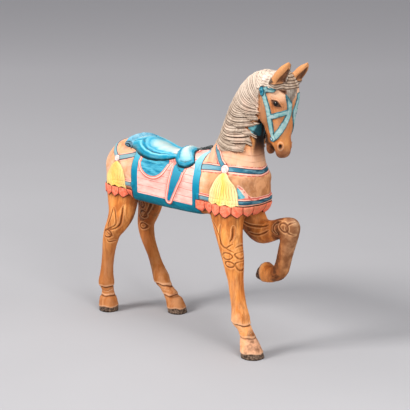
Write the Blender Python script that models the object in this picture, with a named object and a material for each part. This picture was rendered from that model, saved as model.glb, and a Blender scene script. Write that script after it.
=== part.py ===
"""A carved wooden horse standing on three hooves with its left foreleg raised, all of one block:
horse, saddle, blanket, straps, tassels, scalloped trim, mane, bridle and hooves are one solid.
Metres, +X is the way the horse faces, +Y its left side, +Z up, the ground at z = 0."""
import bmesh
import bpy
import numpy as np

# ---- driving dimensions, metres ----------------------------------------------------
SHIFT_X = 0.0930        # moves the horse's own axis so that the middle of its length is x = 0
VOXEL = 0.0045          # grid on which the roughed-out blocks are joined
RING = 28               # sides of every lofted ring
GROUND, LEVEL = 0.0, .0006  # the hooves stand on this height; anything this near it is put on it
TRIANGLES = 9400        # faces of the finished solid

# Each loft is a list of stations (x, y, z, p, q, side, power): the ring's centre, its reach to
# either side along the plane of symmetry, its half width, and how square it is (2 is an ellipse),
# toward p and, where it differs, toward q.
# Trunk, tail to chest: p is the reach downward, q upward.
TRUNK = [(-.562, 0, .563, .018, .018, .022, 2.0), (-.555, 0, .566, .048, .046, .048, 2.0),
         (-.536, 0, .573, .074, .070, .072, 2.0), (-.500, 0, .582, .092, .094, .094, 2.1),
         (-.450, 0, .592, .102, .112, .108, 2.6, 2.2), (-.400, 0, .594, .104, .109, .112, 3.2, 2.2),
         (-.330, 0, .592, .102, .101, .110, 3.4, 2.2), (-.240, 0, .588, .100, .091, .107, 3.4, 2.2),
         (-.140, 0, .588, .100, .095, .107, 3.4, 2.2), (-.050, 0, .592, .102, .108, .107, 3.6, 2.2),
         (.030, 0, .600, .106, .113, .1085, 4.4, 2.2), (.100, 0, .604, .108, .108, .1085, 4.4, 2.2),
         (.150, 0, .605, .103, .094, .100, 3.4, 2.3), (.190, 0, .604, .094, .079, .084, 2.6, 2.2),
         (.218, 0, .602, .072, .062, .064, 2.2, 2.0), (.236, 0, .600, .040, .036, .036, 2.0)]
# Blanket: the same way, a little prouder than the trunk and squarer where it hangs.
BLANKET = [(-.345, 0, .598, .110, .102, .1135, 8., 2.2), (-.339, 0, .598, .112, .103, .1145, 8., 2.2),
           (-.240, 0, .598, .112, .087, .1135, 8., 2.2), (-.140, 0, .598, .110, .090, .1135, 8., 2.2),
           (-.050, 0, .600, .109, .105, .1140, 8., 2.2), (.018, 0, .602, .107, .116, .1145, 8., 2.2),
           (.024, 0, .602, .105, .114, .1135, 8., 2.2)]
# Saddle pad.
SADDLE = [(-.413, 0, .700, .008, .010, .050, 2.1), (-.398, 0, .693, .014, .024, .070, 2.1),
          (-.362, 0, .683, .020, .040, .084, 2.1), (-.320, 0, .677, .021, .039, .090, 2.1),
          (-.270, 0, .670, .020, .030, .091, 2.1), (-.210, 0, .671, .018, .025, .090, 2.1),
          (-.150, 0, .676, .014, .032, .090, 2.1), (-.115, 0, .679, .014, .039, .091, 2.1),
          (-.090, 0, .673, .024, .047, .097, 2.1), (-.050, 0, .671, .026, .051, .099, 2.1),
          (-.015, 0, .680, .022, .045, .088, 2.1), (.004, 0, .700, .012, .025, .064, 2.1)]
# Neck, withers to poll: p is the reach forward to the throat, q back to the crest.
NECK = [(.100, 0, .620, .095, .118, .092, 2.2), (.110, 0, .700, .120, .116, .080, 2.2),
        (.122, 0, .755, .106, .090, .067, 2.1), (.138, 0, .820, .093, .080, .056, 2.0),
        (.160, 0, .880, .087, .075, .050, 2.0), (.195, 0, .940, .076, .070, .046, 2.0),
        (.235, 0, .982, .060, .060, .044, 2.0), (.280, 0, 1.001, .045, .043, .042, 2.0)]
# Head, poll to lips: p is the reach back to the jaw, q forward to the face.
HEAD = [(.300, 0, 1.044, .036, .040, .028, 2.2), (.302, 0, 1.030, .056, .060, .045, 2.3),
        (.304, 0, .995, .066, .073, .054, 2.5), (.305, 0, .950, .066, .072, .056, 2.7),
        (.306, 0, .914, .062, .063, .051, 2.7), (.308, 0, .880, .058, .056, .044, 2.5),
        (.311, 0, .848, .056, .050, .038, 2.4), (.316, 0, .815, .048, .040, .034, 2.3),
        (.324, 0, .790, .026, .032, .033, 2.2), (.327, 0, .770, .019, .029, .032, 2.1),
        (.327, 0, .753, .013, .022, .027, 2.0), (.327, 0, .743, .005, .010, .012, 2.0)]
LOWER_JAW = [(.285, 0, .860, .030, .020, .028, 2.0), (.281, 0, .825, .026, .020, .025, 2.0),
             (.277, 0, .797, .020, .014, .023, 2.0), (.275, 0, .778, .018, .013, .021, 2.0),
             (.274, 0, .760, .015, .012, .019, 2.0), (.274, 0, .749, .007, .006, .009, 2.0)]
# Legs, top to hoof: p is the reach to the back of the leg, q to its front.
RIGHT_HIND = [(-.455, -.052, .600, .075, .075, .052, 2.1), (-.450, -.060, .520, .078, .078, .052, 2.1),
              (-.445, -.070, .460, .066, .072, .048, 2.1), (-.442, -.080, .415, .056, .058, .044, 2.1),
              (-.460, -.087, .370, .046, .046, .038, 2.0), (-.483, -.090, .330, .040, .034, .032, 2.0),
              (-.498, -.091, .290, .034, .030, .029, 2.0), (-.510, -.091, .235, .027, .026, .0255, 2.0),
              (-.518, -.091, .190, .0255, .025, .0240, 2.0), (-.523, -.090, .150, .029, .027, .027, 2.0),
              (-.525, -.090, .114, .037, .031, .032, 2.0), (-.522, -.089, .094, .026, .026, .0250, 2.0),
              (-.520, -.088, .074, .026, .025, .0250, 2.0), (-.519, -.088, .052, .033, .030, .030, 2.0)]
LEFT_HIND = [(-.450, .052, .600, .070, .070, .052, 2.1), (-.430, .062, .500, .076, .052, .050, 2.1),
             (-.438, .078, .430, .070, .046, .045, 2.1), (-.465, .087, .378, .053, .042, .038, 2.0),
             (-.482, .090, .335, .042, .034, .032, 2.0), (-.480, .090, .298, .034, .032, .030, 2.0),
             (-.466, .089, .260, .028, .028, .027, 2.0), (-.440, .089, .210, .0245, .0245, .024, 2.0),
             (-.418, .089, .165, .028, .027, .026, 2.0), (-.393, .088, .124, .036, .032, .032, 2.0),
             (-.373, .088, .098, .025, .026, .0250, 2.0), (-.353, .088, .077, .025, .026, .0250, 2.0),
             (-.330, .088, .055, .031, .031, .030, 2.0)]
RIGHT_FORE = [(.118, -.050, .600, .070, .070, .052, 2.1), (.124, -.062, .530, .078, .070, .054, 2.1),
              (.135, -.074, .480, .062, .062, .048, 2.1), (.146, -.080, .440, .051, .054, .044, 2.1),
              (.155, -.081, .400, .045, .051, .040, 2.0), (.163, -.080, .360, .040, .048, .037, 2.0),
              (.170, -.079, .320, .034, .041, .034, 2.0), (.178, -.078, .280, .030, .031, .029, 2.0),
              (.185, -.078, .235, .029, .029, .028, 2.0), (.196, -.077, .180, .030, .029, .028, 2.0),
              (.206, -.076, .134, .041, .034, .034, 2.0), (.218, -.075, .110, .028, .027, .026, 2.0),
              (.229, -.074, .088, .026, .027, .0260, 2.0), (.241, -.072, .058, .031, .032, .031, 2.0)]
LEFT_ARM = [(.100, .048, .600, .068, .068, .052, 2.1), (.108, .056, .520, .0635, .068, .052, 2.1),
            (.128, .062, .468, .0510, .062, .048, 2.0), (.172, .064, .440, .053, .046, .043, 2.0),
            (.228, .063, .448, .040, .038, .037, 2.0), (.280, .062, .470, .035, .035, .034, 2.0),
            (.315, .061, .482, .028, .032, .032, 2.0)]
LEFT_CANNON = [(.322, .061, .484, .030, .026, .032, 2.0), (.322, .060, .458, .032, .030, .032, 2.0),
               (.313, .059, .420, .036, .028, .029, 2.0), (.300, .058, .370, .0355, .026, .0270, 2.0),
               (.288, .057, .332, .0300, .027, .029, 2.0), (.279, .056, .308, .031, .027, .032, 2.0),
               (.264, .056, .291, .026, .027, .029, 2.0), (.240, .055, .284, .027, .028, .029, 2.0)]
TAIL = [(-.530, 0, .625, .018, .018, .020, 2.0), (-.553, 0, .595, .020, .018, .022, 2.0),
        (-.563, 0, .545, .020, .022, .024, 2.0), (-.564, 0, .490, .019, .022, .024, 2.0),
        (-.560, 0, .440, .016, .018, .020, 2.0), (-.556, 0, .412, .006, .006, .008, 2.0)]
# Hooves, coronet to ground: p is the reach back, q forward; the rings are level.
HOOVES = [[(-.520, -.088, .058, .034, .033, .033, 2.2), (-.518, -.088, .022, .038, .039, .038, 2.2),
           (-.517, -.088, -.015, .037, .041, .038, 2.2)],
          [(-.324, .088, .058, .030, .034, .031, 2.2), (-.309, .088, .020, .036, .040, .037, 2.2),
           (-.298, .088, -.015, .038, .044, .040, 2.2)],
          [(.240, -.072, .060, .032, .035, .033, 2.2), (.252, -.071, .020, .038, .044, .041, 2.2),
           (.258, -.070, -.015, .040, .049, .044, 2.2)]]
RAISED_HOOF = [(.252, .055, .286, .026, .026, .028, 2.0), (.234, .055, .283, .031, .032, .032, 2.1),
               (.208, .055, .285, .035, .036, .038, 2.2), (.187, .055, .292, .036, .039, .041, 2.2)]
LEFT_EAR = [(.320, .044, .992, .018, .016, .020, 2.0), (.336, .046, 1.016, .019, .017, .0245, 2.0),
            (.355, .047, 1.038, .0190, .018, .0262, 2.0), (.374, .048, 1.058, .016, .016, .0222, 2.0),
            (.389, .047, 1.073, .009, .009, .0135, 2.0), (.398, .046, 1.084, .003, .003, .004, 2.0)]
RIGHT_EAR = [(.318, -.044, .992, .018, .016, .020, 2.0), (.334, -.046, 1.019, .019, .017, .0245, 2.0),
             (.352, -.047, 1.043, .0190, .018, .0262, 2.0), (.372, -.048, 1.066, .016, .016, .0222, 2.0),
             (.386, -.047, 1.083, .009, .009, .0135, 2.0), (.395, -.046, 1.096, .003, .003, .004, 2.0)]
CANTLE_ROLL = [(-.384, -.093, .697), (-.399, -.056, .712), (-.403, 0, .717), (-.403, .050, .708),
               (-.397, .086, .688)]
# Swellings: centre, radii. Those with a side are made on both.
SWELLINGS = [((.095, .055, .590), (.085, .050, .095)), ((.165, .046, .572), (.060, .046, .070)),
             ((.150, .018, .645), (.086, .080, .056)),
             ((-.450, .058, .556), (.085, .050, .105)),
             ((.284, .026, .905), (.048, .024, .054)), ((.337, .044, .955), (.026, .013, .018)),
             ((.336, .022, .794), (.015, .012, .016))]
KNEE = ((.322, .061, .474), (.034, .033, .040))
POMMEL = ((-.084, 0, .710), (-.016, 0, .735), .0070)   # from, to, half thickness


def finer(rows, steps):
    """The stations with others between them on a smooth curve through them."""
    rows = np.array(rows, float)
    ends = np.vstack([2 * rows[0] - rows[1], rows, 2 * rows[-1] - rows[-2]])
    out = []
    for a, b, c, d in zip(ends, ends[1:], ends[2:], ends[3:]):
        for t in np.arange(steps) / steps:
            out.append(b + t * .5 * (c - a) + t * t * (a - 2.5 * b + 2 * c - .5 * d)
                       + t ** 3 * (1.5 * (b - c) + .5 * (d - a)))
    return np.array(out + [rows[-1]])


def skin(bm, rings):
    """One closed body from a row of rings with the same number of points."""
    loops = [[bm.verts.new(p) for p in ring] for ring in rings]
    faces = []
    for loop, ring in ((loops[0][::-1], rings[0]), (loops[-1], rings[-1])):
        hub = bm.verts.new(ring.mean(0))
        faces += [bm.faces.new((hub, v, w)) for v, w in zip(loop, loop[1:] + loop[:1])]
    for low, high in zip(loops, loops[1:]):
        for i in range(len(low)):
            j = (i + 1) % len(low)
            faces.append(bm.faces.new((low[i], low[j], high[j], high[i])))
    bmesh.ops.recalc_face_normals(bm, faces=faces)


def loft(bm, rows, steps=4, level=False, lean=None):
    rows = finer([(*r, r[6])[:8] for r in rows], steps)
    centre = rows[:, :3]
    way = np.gradient(centre, axis=0)
    if level:
        way = np.tile((0., 0., -1.), (len(rows), 1))
    way /= np.linalg.norm(way, axis=1)[:, None]
    side = np.array((0., 1., 0.)) - way * way[:, 1:2]
    side /= np.linalg.norm(side, axis=1)[:, None]
    out = np.cross(side, way)
    turn = np.arange(RING) * 2 * np.pi / RING
    c, s = np.cos(turn), np.sin(turn)
    rings = []
    for row, o, v in zip(rows, out, side):
        p, q, b, n, m = np.maximum(row[3:], (1e-3, 1e-3, 1e-3, 1.8, 1.8))
        n = np.where(c > 0, n, m)
        u = np.where(c > 0, p, q) * np.sign(c) * np.abs(c) ** (2 / n)
        w = b * np.sign(s) * np.abs(s) ** (2 / n)
        ring = row[:3] + u[:, None] * o + w[:, None] * v
        rings.append(ring if lean is None else lean(ring))
    skin(bm, rings)


def egg(bm, centre, radii):
    made = bmesh.ops.create_icosphere(bm, subdivisions=3, radius=1)["verts"]
    for v in made:
        v.co = [c + r * x for c, r, x in zip(centre, radii, v.co)]


def rod(bm, path, radius, steps=6):
    """A round rod along a path of points."""
    path = finer(path, steps)
    loft(bm, [(*p, radius, radius, radius, 2.0) for p in path], steps=1)


def swept(ring):
    """The blanket's front edge runs back over the withers."""
    if ring[0, 0] > -.1:
        ring = ring - np.outer(.030 * np.clip((ring[:, 2] - .655) / .055, 0, 1), (1., 0., 0.))
    return ring


def drawn_back(x, side):
    """How far the saddle's front edge runs back from its lobes to the spine."""
    t = np.clip((x + .190) / .180, 0, 1)
    return .085 * t * t * (3 - 2 * t) * np.clip(1 - (side / .088) ** 2, 0, 1)


def settled(seat, y):
    """How much lower the saddle's left side lies than its right."""
    rear, front = np.clip((seat + .38) / .05, 0, 1), np.clip((seat + .15) / .06, 0, 1)
    return np.clip(y / .05, 0, 1) * (.009 * rear + .010 * front)


def arched(ring):
    x, y, z = ring.T
    return np.stack([x - drawn_back(x, y), y, z - settled(x, y)], 1)


def rough_blocks():
    """Every block of the horse in one mesh, overlapping, before they are joined."""
    bm = bmesh.new()
    loft(bm, TRUNK)
    loft(bm, BLANKET, steps=1, lean=swept)
    loft(bm, SADDLE, lean=arched)
    loft(bm, NECK)
    loft(bm, HEAD)
    loft(bm, LOWER_JAW)
    for rows in (RIGHT_HIND, LEFT_HIND, RIGHT_FORE, LEFT_ARM, LEFT_CANNON, RAISED_HOOF, TAIL,
                 LEFT_EAR, RIGHT_EAR):
        loft(bm, rows)
    for rows in HOOVES:
        loft(bm, rows, level=True)
    for centre, radii in SWELLINGS:
        for side in (1, -1):
            egg(bm, (centre[0], side * centre[1], centre[2]), radii)
    egg(bm, *KNEE)
    rod(bm, CANTLE_ROLL, .0135)
    rod(bm, [POMMEL[0], POMMEL[1]], POMMEL[2], steps=2)
    return bm


def joined(bm, voxel):
    """The blocks joined into one skin of small quads: points and quads."""
    mesh = bpy.data.meshes.new("blocks")
    bm.to_mesh(mesh)
    bm.free()
    blocks = bpy.data.objects.new("blocks", mesh)
    bpy.context.scene.collection.objects.link(blocks)
    remesh = blocks.modifiers.new("join", "REMESH")
    remesh.mode = "VOXEL"
    remesh.voxel_size = voxel
    remesh.adaptivity = 0
    bpy.context.view_layer.update()
    made = blocks.evaluated_get(bpy.context.evaluated_depsgraph_get()).to_mesh()
    points = np.empty(len(made.vertices) * 3)
    made.vertices.foreach_get("co", points)
    quads = np.empty(len(made.polygons) * 4, int)
    made.polygons.foreach_get("vertices", quads)
    bpy.data.objects.remove(blocks)
    bpy.data.meshes.remove(mesh)
    return points.reshape(-1, 3), quads.reshape(-1, 4)


def edges_of(quads):
    ends = np.concatenate([quads, np.roll(quads, -1, 1)], 0).reshape(2, -1).T
    return np.unique(np.sort(ends, 1), axis=0)


def softened(points, edges, share, rounds):
    """Points drawn toward the mean of their neighbours, each by its own share."""
    a, b = np.concatenate([edges, edges[:, ::-1]]).T
    count = np.bincount(a, minlength=len(points))
    for _ in range(rounds):
        mean = np.stack([np.bincount(a, points[b, i], len(points)) for i in range(3)], 1)
        points = points + share[:, None] * (mean / count[:, None] - points)
    return points

# ---- the carving on the skin -------------------------------------------------------
# Paths lie on the right side and are used on both. Lengths are from the middle of each band.
BREAST_STRAP = [(.010, .088, .674), (.055, .087, .679), (.105, .086, .683), (.132, .087, .685),
                (.170, .077, .687), (.202, .058, .685), (.223, .028, .681), (.228, 0, .677)]
LOWER_STRAP = [(.015, .112, .568), (.066, .110, .568), (.150, .106, .570), (.190, .085, .572),
               (.217, .058, .572), (.230, .025, .572), (.236, 0, .572)]
HAUNCH_STRAP = [(-.340, .112, .552), (-.400, .110, .550), (-.470, .098, .548)]
RUMP_STRAP = [(-.340, .100, .668), (-.381, .097, .655), (-.432, .101, .641)]
CROUP_STRAP = [(-.432, .101, .641), (-.452, .094, .655), (-.470, .080, .667), (-.486, .060, .679),
               (-.497, .030, .686), (-.500, 0, .688)]
COLLAR_STRAP = [(.124, .086, .688), (.101, .081, .708), (.084, .078, .732), (.068, .067, .750)]
EAR_AXIS = [(.322, .044, .995), (.355, .047, 1.040), (.397, .046, 1.090)]
CHEEK_STRAP = [(.284, .055, .974), (.292, .058, .960), (.303, .056, .931), (.307, .050, .896),
               (.308, .043, .862), (.308, .035, .818)]
NOSE_STRAP = [(.372, .013, .917), (.368, .014, .904), (.361, .023, .880), (.345, .032, .849),
              (.324, .036, .823), (.308, .035, .813)]
FACE_STRAP = [(.375, .028, .985), (.376, .025, .963), (.376, .019, .944), (.372, .013, .917)]
SIDE_STRAP = [(.304, .051, .893), (.320, .049, .897), (.345, .044, .906), (.362, .028, .914),
              (.370, .016, .917)]
BROW_STRAP = [(.282, .054, .982), (.296, .055, .990), (.330, .057, .995)]
SADDLE_ROLLS = [[(-.386, .070, .706), (-.350, .066, .713), (-.322, .078, .700), (-.292, .082, .688),
                 (-.259, .083, .681), (-.217, .081, .681), (-.175, .080, .686), (-.128, .080, .693)],
                [(-.360, .040, .727), (-.335, .056, .717), (-.305, .067, .702), (-.275, .069, .692),
                 (-.240, .068, .688), (-.200, .066, .688), (-.150, .063, .695), (-.118, .066, .700)]]
LOBE_ROLL = [(-.112, .070, .700), (-.110, .084, .688), (-.093, .094, .674), (-.064, .097, .672),
             (-.036, .090, .684), (-.024, .074, .700), (-.020, .050, .713), (-.018, .020, .723),
             (-.018, 0, .725)]
CREST = [(.004, .712), (.030, .757), (.055, .820), (.085, .880), (.128, .940), (.178, .988),
         (.228, 1.026), (.275, 1.044), (.320, 1.046)]
MANE_FRONT = [(-.10, .766), (.052, .762), (.076, .749), (.102, .744), (.139, .743), (.184, .754), (.205, .783),
              (.217, .814), (.200, .838), (.226, .866), (.250, .900), (.254, .959), (.278, .995),
              (.300, 1.03), (.305, 1.10)]
TRIM_PITCH, HAUNCH_PITCH = .0415, .037
STRAP_RISE, BRIDLE_RISE, TASSEL_RISE, TRIM_RISE = .0030, .0032, .0060, .0045


def along(points, path):
    """Distance to a path and the length along it of the nearest place."""
    path = np.array(path, float)
    best, where, run = np.full(len(points), 9.), np.zeros(len(points)), 0.
    for a, b in zip(path, path[1:]):
        way, size = b - a, np.linalg.norm(b - a)
        t = np.clip((points - a) @ way / size ** 2, 0, 1)
        gap = np.linalg.norm(points - a - t[:, None] * way, axis=1)
        nearer = gap < best
        best, where = np.where(nearer, gap, best), np.where(nearer, run + t * size, where)
        run += size
    return best, where


def over(points, path):
    """How far above a path round the trunk each point is."""
    path = np.array(path, float)
    steps = np.append(0, np.cumsum(np.linalg.norm(np.diff(path[:, :2], axis=0), axis=1)))
    return points[:, 2] - np.interp(along(points[:, :2], path[:, :2])[1], steps, path[:, 2])


def near(points, centre, radius):
    return np.linalg.norm(points - np.array(centre), axis=1) - radius


def saddle_x(x, side):
    """The station of the saddle that each point belongs to."""
    seat = x
    for _ in range(24):
        seat = x + drawn_back(seat, side)
    return seat


def wide(v, table):
    """Looks v up in a table of (v, value) pairs."""
    low, value = np.array(sorted(table)).T
    return np.interp(v, low, value)


def regions(p):
    """How far each point is outside each carved or painted piece (less than 0 is inside)."""
    x, y, z = p.T
    q = np.stack([x, np.abs(y), z], 1)
    side = q[:, 1]
    on_head = x + .35 * (z - .95) > .262
    away = lambda hit: np.where(hit, -9., 9.)
    r = {}
    lean = np.clip((z - .655) / .055, 0, 1) * .030
    trunk = away((z > .47) & (z < .76))
    r["blanket"] = np.maximum.reduce([-.345 - x, x - .024 + lean, .4925 - z, trunk])
    pad = np.array(SADDLE)
    seat = saddle_x(x, side)
    hem = np.interp(seat, pad[:, 0], pad[:, 2] - pad[:, 3]) - settled(seat, y)
    r["saddle"] = np.maximum.reduce([hem - z, seat - .004, -.402 - x, trunk])
    r["roll"] = along(p, CANTLE_ROLL)[0] - .019
    r["flap"] = (np.hypot((x + .232) / .070, (z - .665) / .060) - 1) * .060
    r["flap_edge"] = (np.hypot((x + .232) / .083, (z - .665) / .073) - 1) * .070
    flat = np.stack([x, z], 1)
    gap, _ = along(flat, [(-.133, .533), (-.097, .624), (-.094, .680)])
    reach = wide(z, [(.50, .019), (.533, .021), (.581, .028), (.624, .035), (.665, .043)])
    r["leather_edge"], r["leather"] = gap - reach, gap - reach + .013
    for name, path in (("breast_strap", BREAST_STRAP), ("lower_strap", LOWER_STRAP)):
        r[name] = np.maximum.reduce([np.abs(over(q, path)) - .0090, path[0][0] - x, trunk])
    for name, path, half in (("haunch_strap", HAUNCH_STRAP, .0070), ("rump_strap", RUMP_STRAP, .0065),
                             ("croup_strap", CROUP_STRAP, .0065)):
        r[name] = np.maximum(along(q, path)[0] - half, trunk)
    r["collar_strap"] = np.maximum.reduce([along(flat, [c[::2] for c in COLLAR_STRAP])[0] - .0090,
                                           .03 - side, z - .757, trunk])
    for name, path, half in (("cheek_strap", CHEEK_STRAP, .0122), ("nose_strap", NOSE_STRAP, .0120),
                             ("face_strap", FACE_STRAP, .0112), ("side_strap", SIDE_STRAP, .0104),
                             ("brow_strap", BROW_STRAP, .0110)):
        r[name] = np.maximum(along(q, path)[0] - half, away(on_head))
    r["rosette"] = near(q, (.128, .082, .683), .0165)
    r["rump_rosette"] = near(q, (-.432, .102, .640), .0125)
    r["knot"] = near(q, (.280, .054, .979), .0125)
    r["ring"] = near(q, (.307, .034, .813), .0085)
    plan = q[:, :2]
    chest_run = along(plan, [c[:2] for c in LOWER_STRAP])[1]
    turn = np.abs((chest_run / TRIM_PITCH + .15) % 1 - .5) * 2
    below = .5560 - z
    r["trim"] = np.maximum.reduce([below - .0415 + .0165 * turn ** 1.1, -below,
                                   .010 - x, away((x > .010) & (z > .47))])
    r["trim_run"] = turn
    turn = np.abs(((x + .345) / HAUNCH_PITCH) % 1 - .5) * 2
    below = .5280 - z
    r["rump_trim"] = np.maximum.reduce([below - .0375 + .0145 * turn ** 1.1, -below,
                                        x + .340, away((x < -.3) & (z > .45) & (side > .03))])
    r["rump_trim_run"] = turn
    middle = wide(z, [(.668, .131), (.660, .132), (.635, .137), (.603, .134), (.560, .134)])
    half = wide(z, [(.673, .004), (.664, .020), (.648, .034), (.635, .044), (.603, .057), (.560, .063)])
    r["tassel"] = np.maximum.reduce([np.abs(x - middle) - half, .5600 - .0080 * r["trim_run"] - z, z - .673, away(side > .05)])
    r["tassel_run"] = (x - middle) / half
    middle = wide(z, [(.627, -.428), (.600, -.430), (.566, -.437), (.536, -.437)])
    half = wide(z, [(.630, .004), (.618, .026), (.600, .042), (.566, .057), (.536, .057)])
    r["rump_tassel"] = np.maximum.reduce([np.abs(x - middle) - half, .5350 - .0080 * r["rump_trim_run"] - z, z - .630, away(side > .04)])
    r["rump_tassel_run"] = (x - middle) / half
    crest, run = along(flat, CREST)
    r["mane"] = np.maximum.reduce([beside(flat, MANE_FRONT), .031 - along(q, EAR_AXIS)[0], .002 - x])
    r["mane_fall"], r["mane_run"] = crest, run
    return r


def beside(points, path):
    """Distance to a flat path, less than 0 to the left of the way it runs."""
    best, sign = np.full(len(points), 9.), np.ones(len(points))
    for a, b in zip(np.array(path), np.array(path[1:])):
        way = b - a
        t = np.clip((points - a) @ way / (way @ way), 0, 1)
        off = points - a - t[:, None] * way
        gap = np.hypot(*off.T)
        nearer = gap < best
        turn = way[0] * (points[:, 1] - a[1]) - way[1] * (points[:, 0] - a[0])
        best, sign = np.where(nearer, gap, best), np.where(nearer, -np.sign(turn), sign)
    return best * sign


def raised(gap, rise, slope=.004):
    """A flat-topped band: `rise` inside, nothing outside, with a sloped edge."""
    return rise * np.clip(.5 - gap / slope, 0, 1)


def relief(p):
    """How far each point of the smooth form moves out along its normal."""
    r = regions(p)
    h = np.zeros(len(p))
    for name in ("breast_strap", "lower_strap", "haunch_strap", "rump_strap", "croup_strap", "collar_strap"):
        h = np.maximum(h, raised(r[name] - .003, STRAP_RISE))
    for name in ("cheek_strap", "nose_strap", "face_strap", "side_strap", "brow_strap"):
        h = np.maximum(h, raised(r[name], BRIDLE_RISE))
    on_cloth = (r["blanket"] < 0) & (r["saddle"] > .004)
    h = np.where(on_cloth, np.maximum(h, raised(r["flap_edge"], .003)), h)
    h = np.where(on_cloth, np.maximum(h, raised(r["leather_edge"], .004)), h)
    h = np.maximum(h, raised(r["trim"], TRIM_RISE))
    h = np.maximum(h, raised(r["rump_trim"], TRIM_RISE))
    for name, rise in (("tassel", TASSEL_RISE), ("rump_tassel", TASSEL_RISE)):
        run = np.clip(1 - r[name + "_run"] ** 2, 0, 1)
        h = np.maximum(h, raised(r[name], rise * .5) + np.where(r[name] < 0, rise * .6 * run, 0))
    h = np.maximum(h, raised(r["rosette"], .008))
    h = np.maximum(h, raised(r["rump_rosette"], .007))
    h = np.maximum(h, raised(r["knot"], .005))
    h = np.maximum(h, raised(r["ring"], .004))
    seat = saddle_x(p[:, 0], p[:, 1])
    q = np.stack([seat, np.abs(p[:, 1]), p[:, 2] + settled(seat, p[:, 1])], 1)
    rolls = np.minimum.reduce([along(q, path)[0] for path in SADDLE_ROLLS + [LOBE_ROLL]])
    h += np.where(r["saddle"] < .004, .0035 * np.clip(1 - (rolls / .008) ** 2, 0, 1), 0)
    h += raised(r["mane"], .0035)
    return h, r


def smooth_form(voxel):
    """The whole horse without its carving: blocks joined, creases eased and hooves cut level."""
    points, quads = joined(rough_blocks(), voxel)
    x, y, z = points.T
    edges = edges_of(quads)
    crisp = (x + .35 * (z - .95) > .30) | (z < .06) | ((z > .66) & (x < .02) & (x > -.42))
    points = softened(points, edges, np.where(crisp, .30, .50), 8)
    return points, quads, edges


def normals_of(points, quads):
    a, b, c, d = points[quads].transpose(1, 0, 2)
    flat = np.cross(c - a, d - b)
    out = np.stack([np.bincount(quads.ravel(), np.repeat(flat[:, i], 4), len(points)) for i in range(3)], 1)
    return out / np.maximum(np.linalg.norm(out, axis=1), 1e-12)[:, None]


# ---- the solid ---------------------------------------------------------------------
for old in list(bpy.data.objects):
    bpy.data.objects.remove(old)

points, quads, _ = smooth_form(VOXEL)
rise, _ = relief(points)
points = points + normals_of(points, quads) * rise[:, None] + (SHIFT_X, 0., 0.)

mesh = bpy.data.meshes.new("carved_horse")
mesh.from_pydata(points.tolist(), [], quads.tolist())
bm = bmesh.new()
bm.from_mesh(mesh)
# The hooves are sawn level where they meet the ground.
cut = bmesh.ops.bisect_plane(bm, geom=bm.verts[:] + bm.edges[:] + bm.faces[:], plane_co=(0, 0, 0),
                             plane_no=(0, 0, -1), clear_outer=True)["geom_cut"]
bmesh.ops.contextual_create(bm, geom=[e for e in cut if isinstance(e, bmesh.types.BMEdge)])
bmesh.ops.triangulate(bm, faces=bm.faces[:])
bm.to_mesh(mesh)
full = len(bm.faces)
bm.free()

horse = bpy.data.objects.new("carved_horse", mesh)
bpy.context.scene.collection.objects.link(horse)
fewer = horse.modifiers.new("fewer faces", "DECIMATE")
fewer.ratio = TRIANGLES / full
bpy.context.view_layer.update()
made = horse.evaluated_get(bpy.context.evaluated_depsgraph_get()).to_mesh()
bm = bmesh.new()
bm.from_mesh(made)
for v in bm.verts:
    if v.co.z < LEVEL:
        v.co.z = GROUND
bmesh.ops.dissolve_degenerate(bm, dist=1e-5, edges=bm.edges[:])
bmesh.ops.triangulate(bm, faces=bm.faces[:])
horse.modifiers.remove(fewer)
bm.to_mesh(mesh)
bm.free()
for face in mesh.polygons:
    face.use_smooth = True

wood = bpy.data.materials.new("painted_wood")
wood.use_nodes = True
shader = wood.node_tree.nodes["Principled BSDF"]
shader.inputs["Base Color"].default_value = (.48, .22, .09, 1)
shader.inputs["Roughness"].default_value = .55
shader.inputs["Metallic"].default_value = 0
wood.diffuse_color = (.48, .22, .09, 1)
mesh.materials.append(wood)
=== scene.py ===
"""A carved and painted wooden horse on three hooves, its left foreleg raised.
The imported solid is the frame. One fine mesh of the same form, with the carving cut deeper into it,
stands for it, and one node-built material paints it. Metres, +X ahead, +Y its left, +Z up."""

import bmesh
import bpy
import numpy as np
from mathutils import Matrix, Vector, kdtree


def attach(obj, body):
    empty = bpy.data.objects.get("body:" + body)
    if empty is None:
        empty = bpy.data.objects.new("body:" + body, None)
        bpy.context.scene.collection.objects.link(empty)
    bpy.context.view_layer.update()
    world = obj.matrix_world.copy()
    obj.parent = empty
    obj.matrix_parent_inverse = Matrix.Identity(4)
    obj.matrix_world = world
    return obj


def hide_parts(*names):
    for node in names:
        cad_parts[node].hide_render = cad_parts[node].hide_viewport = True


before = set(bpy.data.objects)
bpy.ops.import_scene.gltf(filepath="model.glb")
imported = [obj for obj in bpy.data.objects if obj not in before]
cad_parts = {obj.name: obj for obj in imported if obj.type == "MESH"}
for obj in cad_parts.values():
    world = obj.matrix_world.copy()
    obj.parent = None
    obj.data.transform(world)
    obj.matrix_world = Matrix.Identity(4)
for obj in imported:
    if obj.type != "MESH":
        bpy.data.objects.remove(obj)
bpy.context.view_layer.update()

# ---- driving dimensions, metres ----------------------------------------------------
SHIFT_X = 0.0930        # moves the horse's own axis so that the middle of its length is x = 0
VOXEL = 0.0045          # grid on which the roughed-out blocks are joined
RING = 28               # sides of every lofted ring
FACES = 188000          # triangles of the finished mesh

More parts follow.
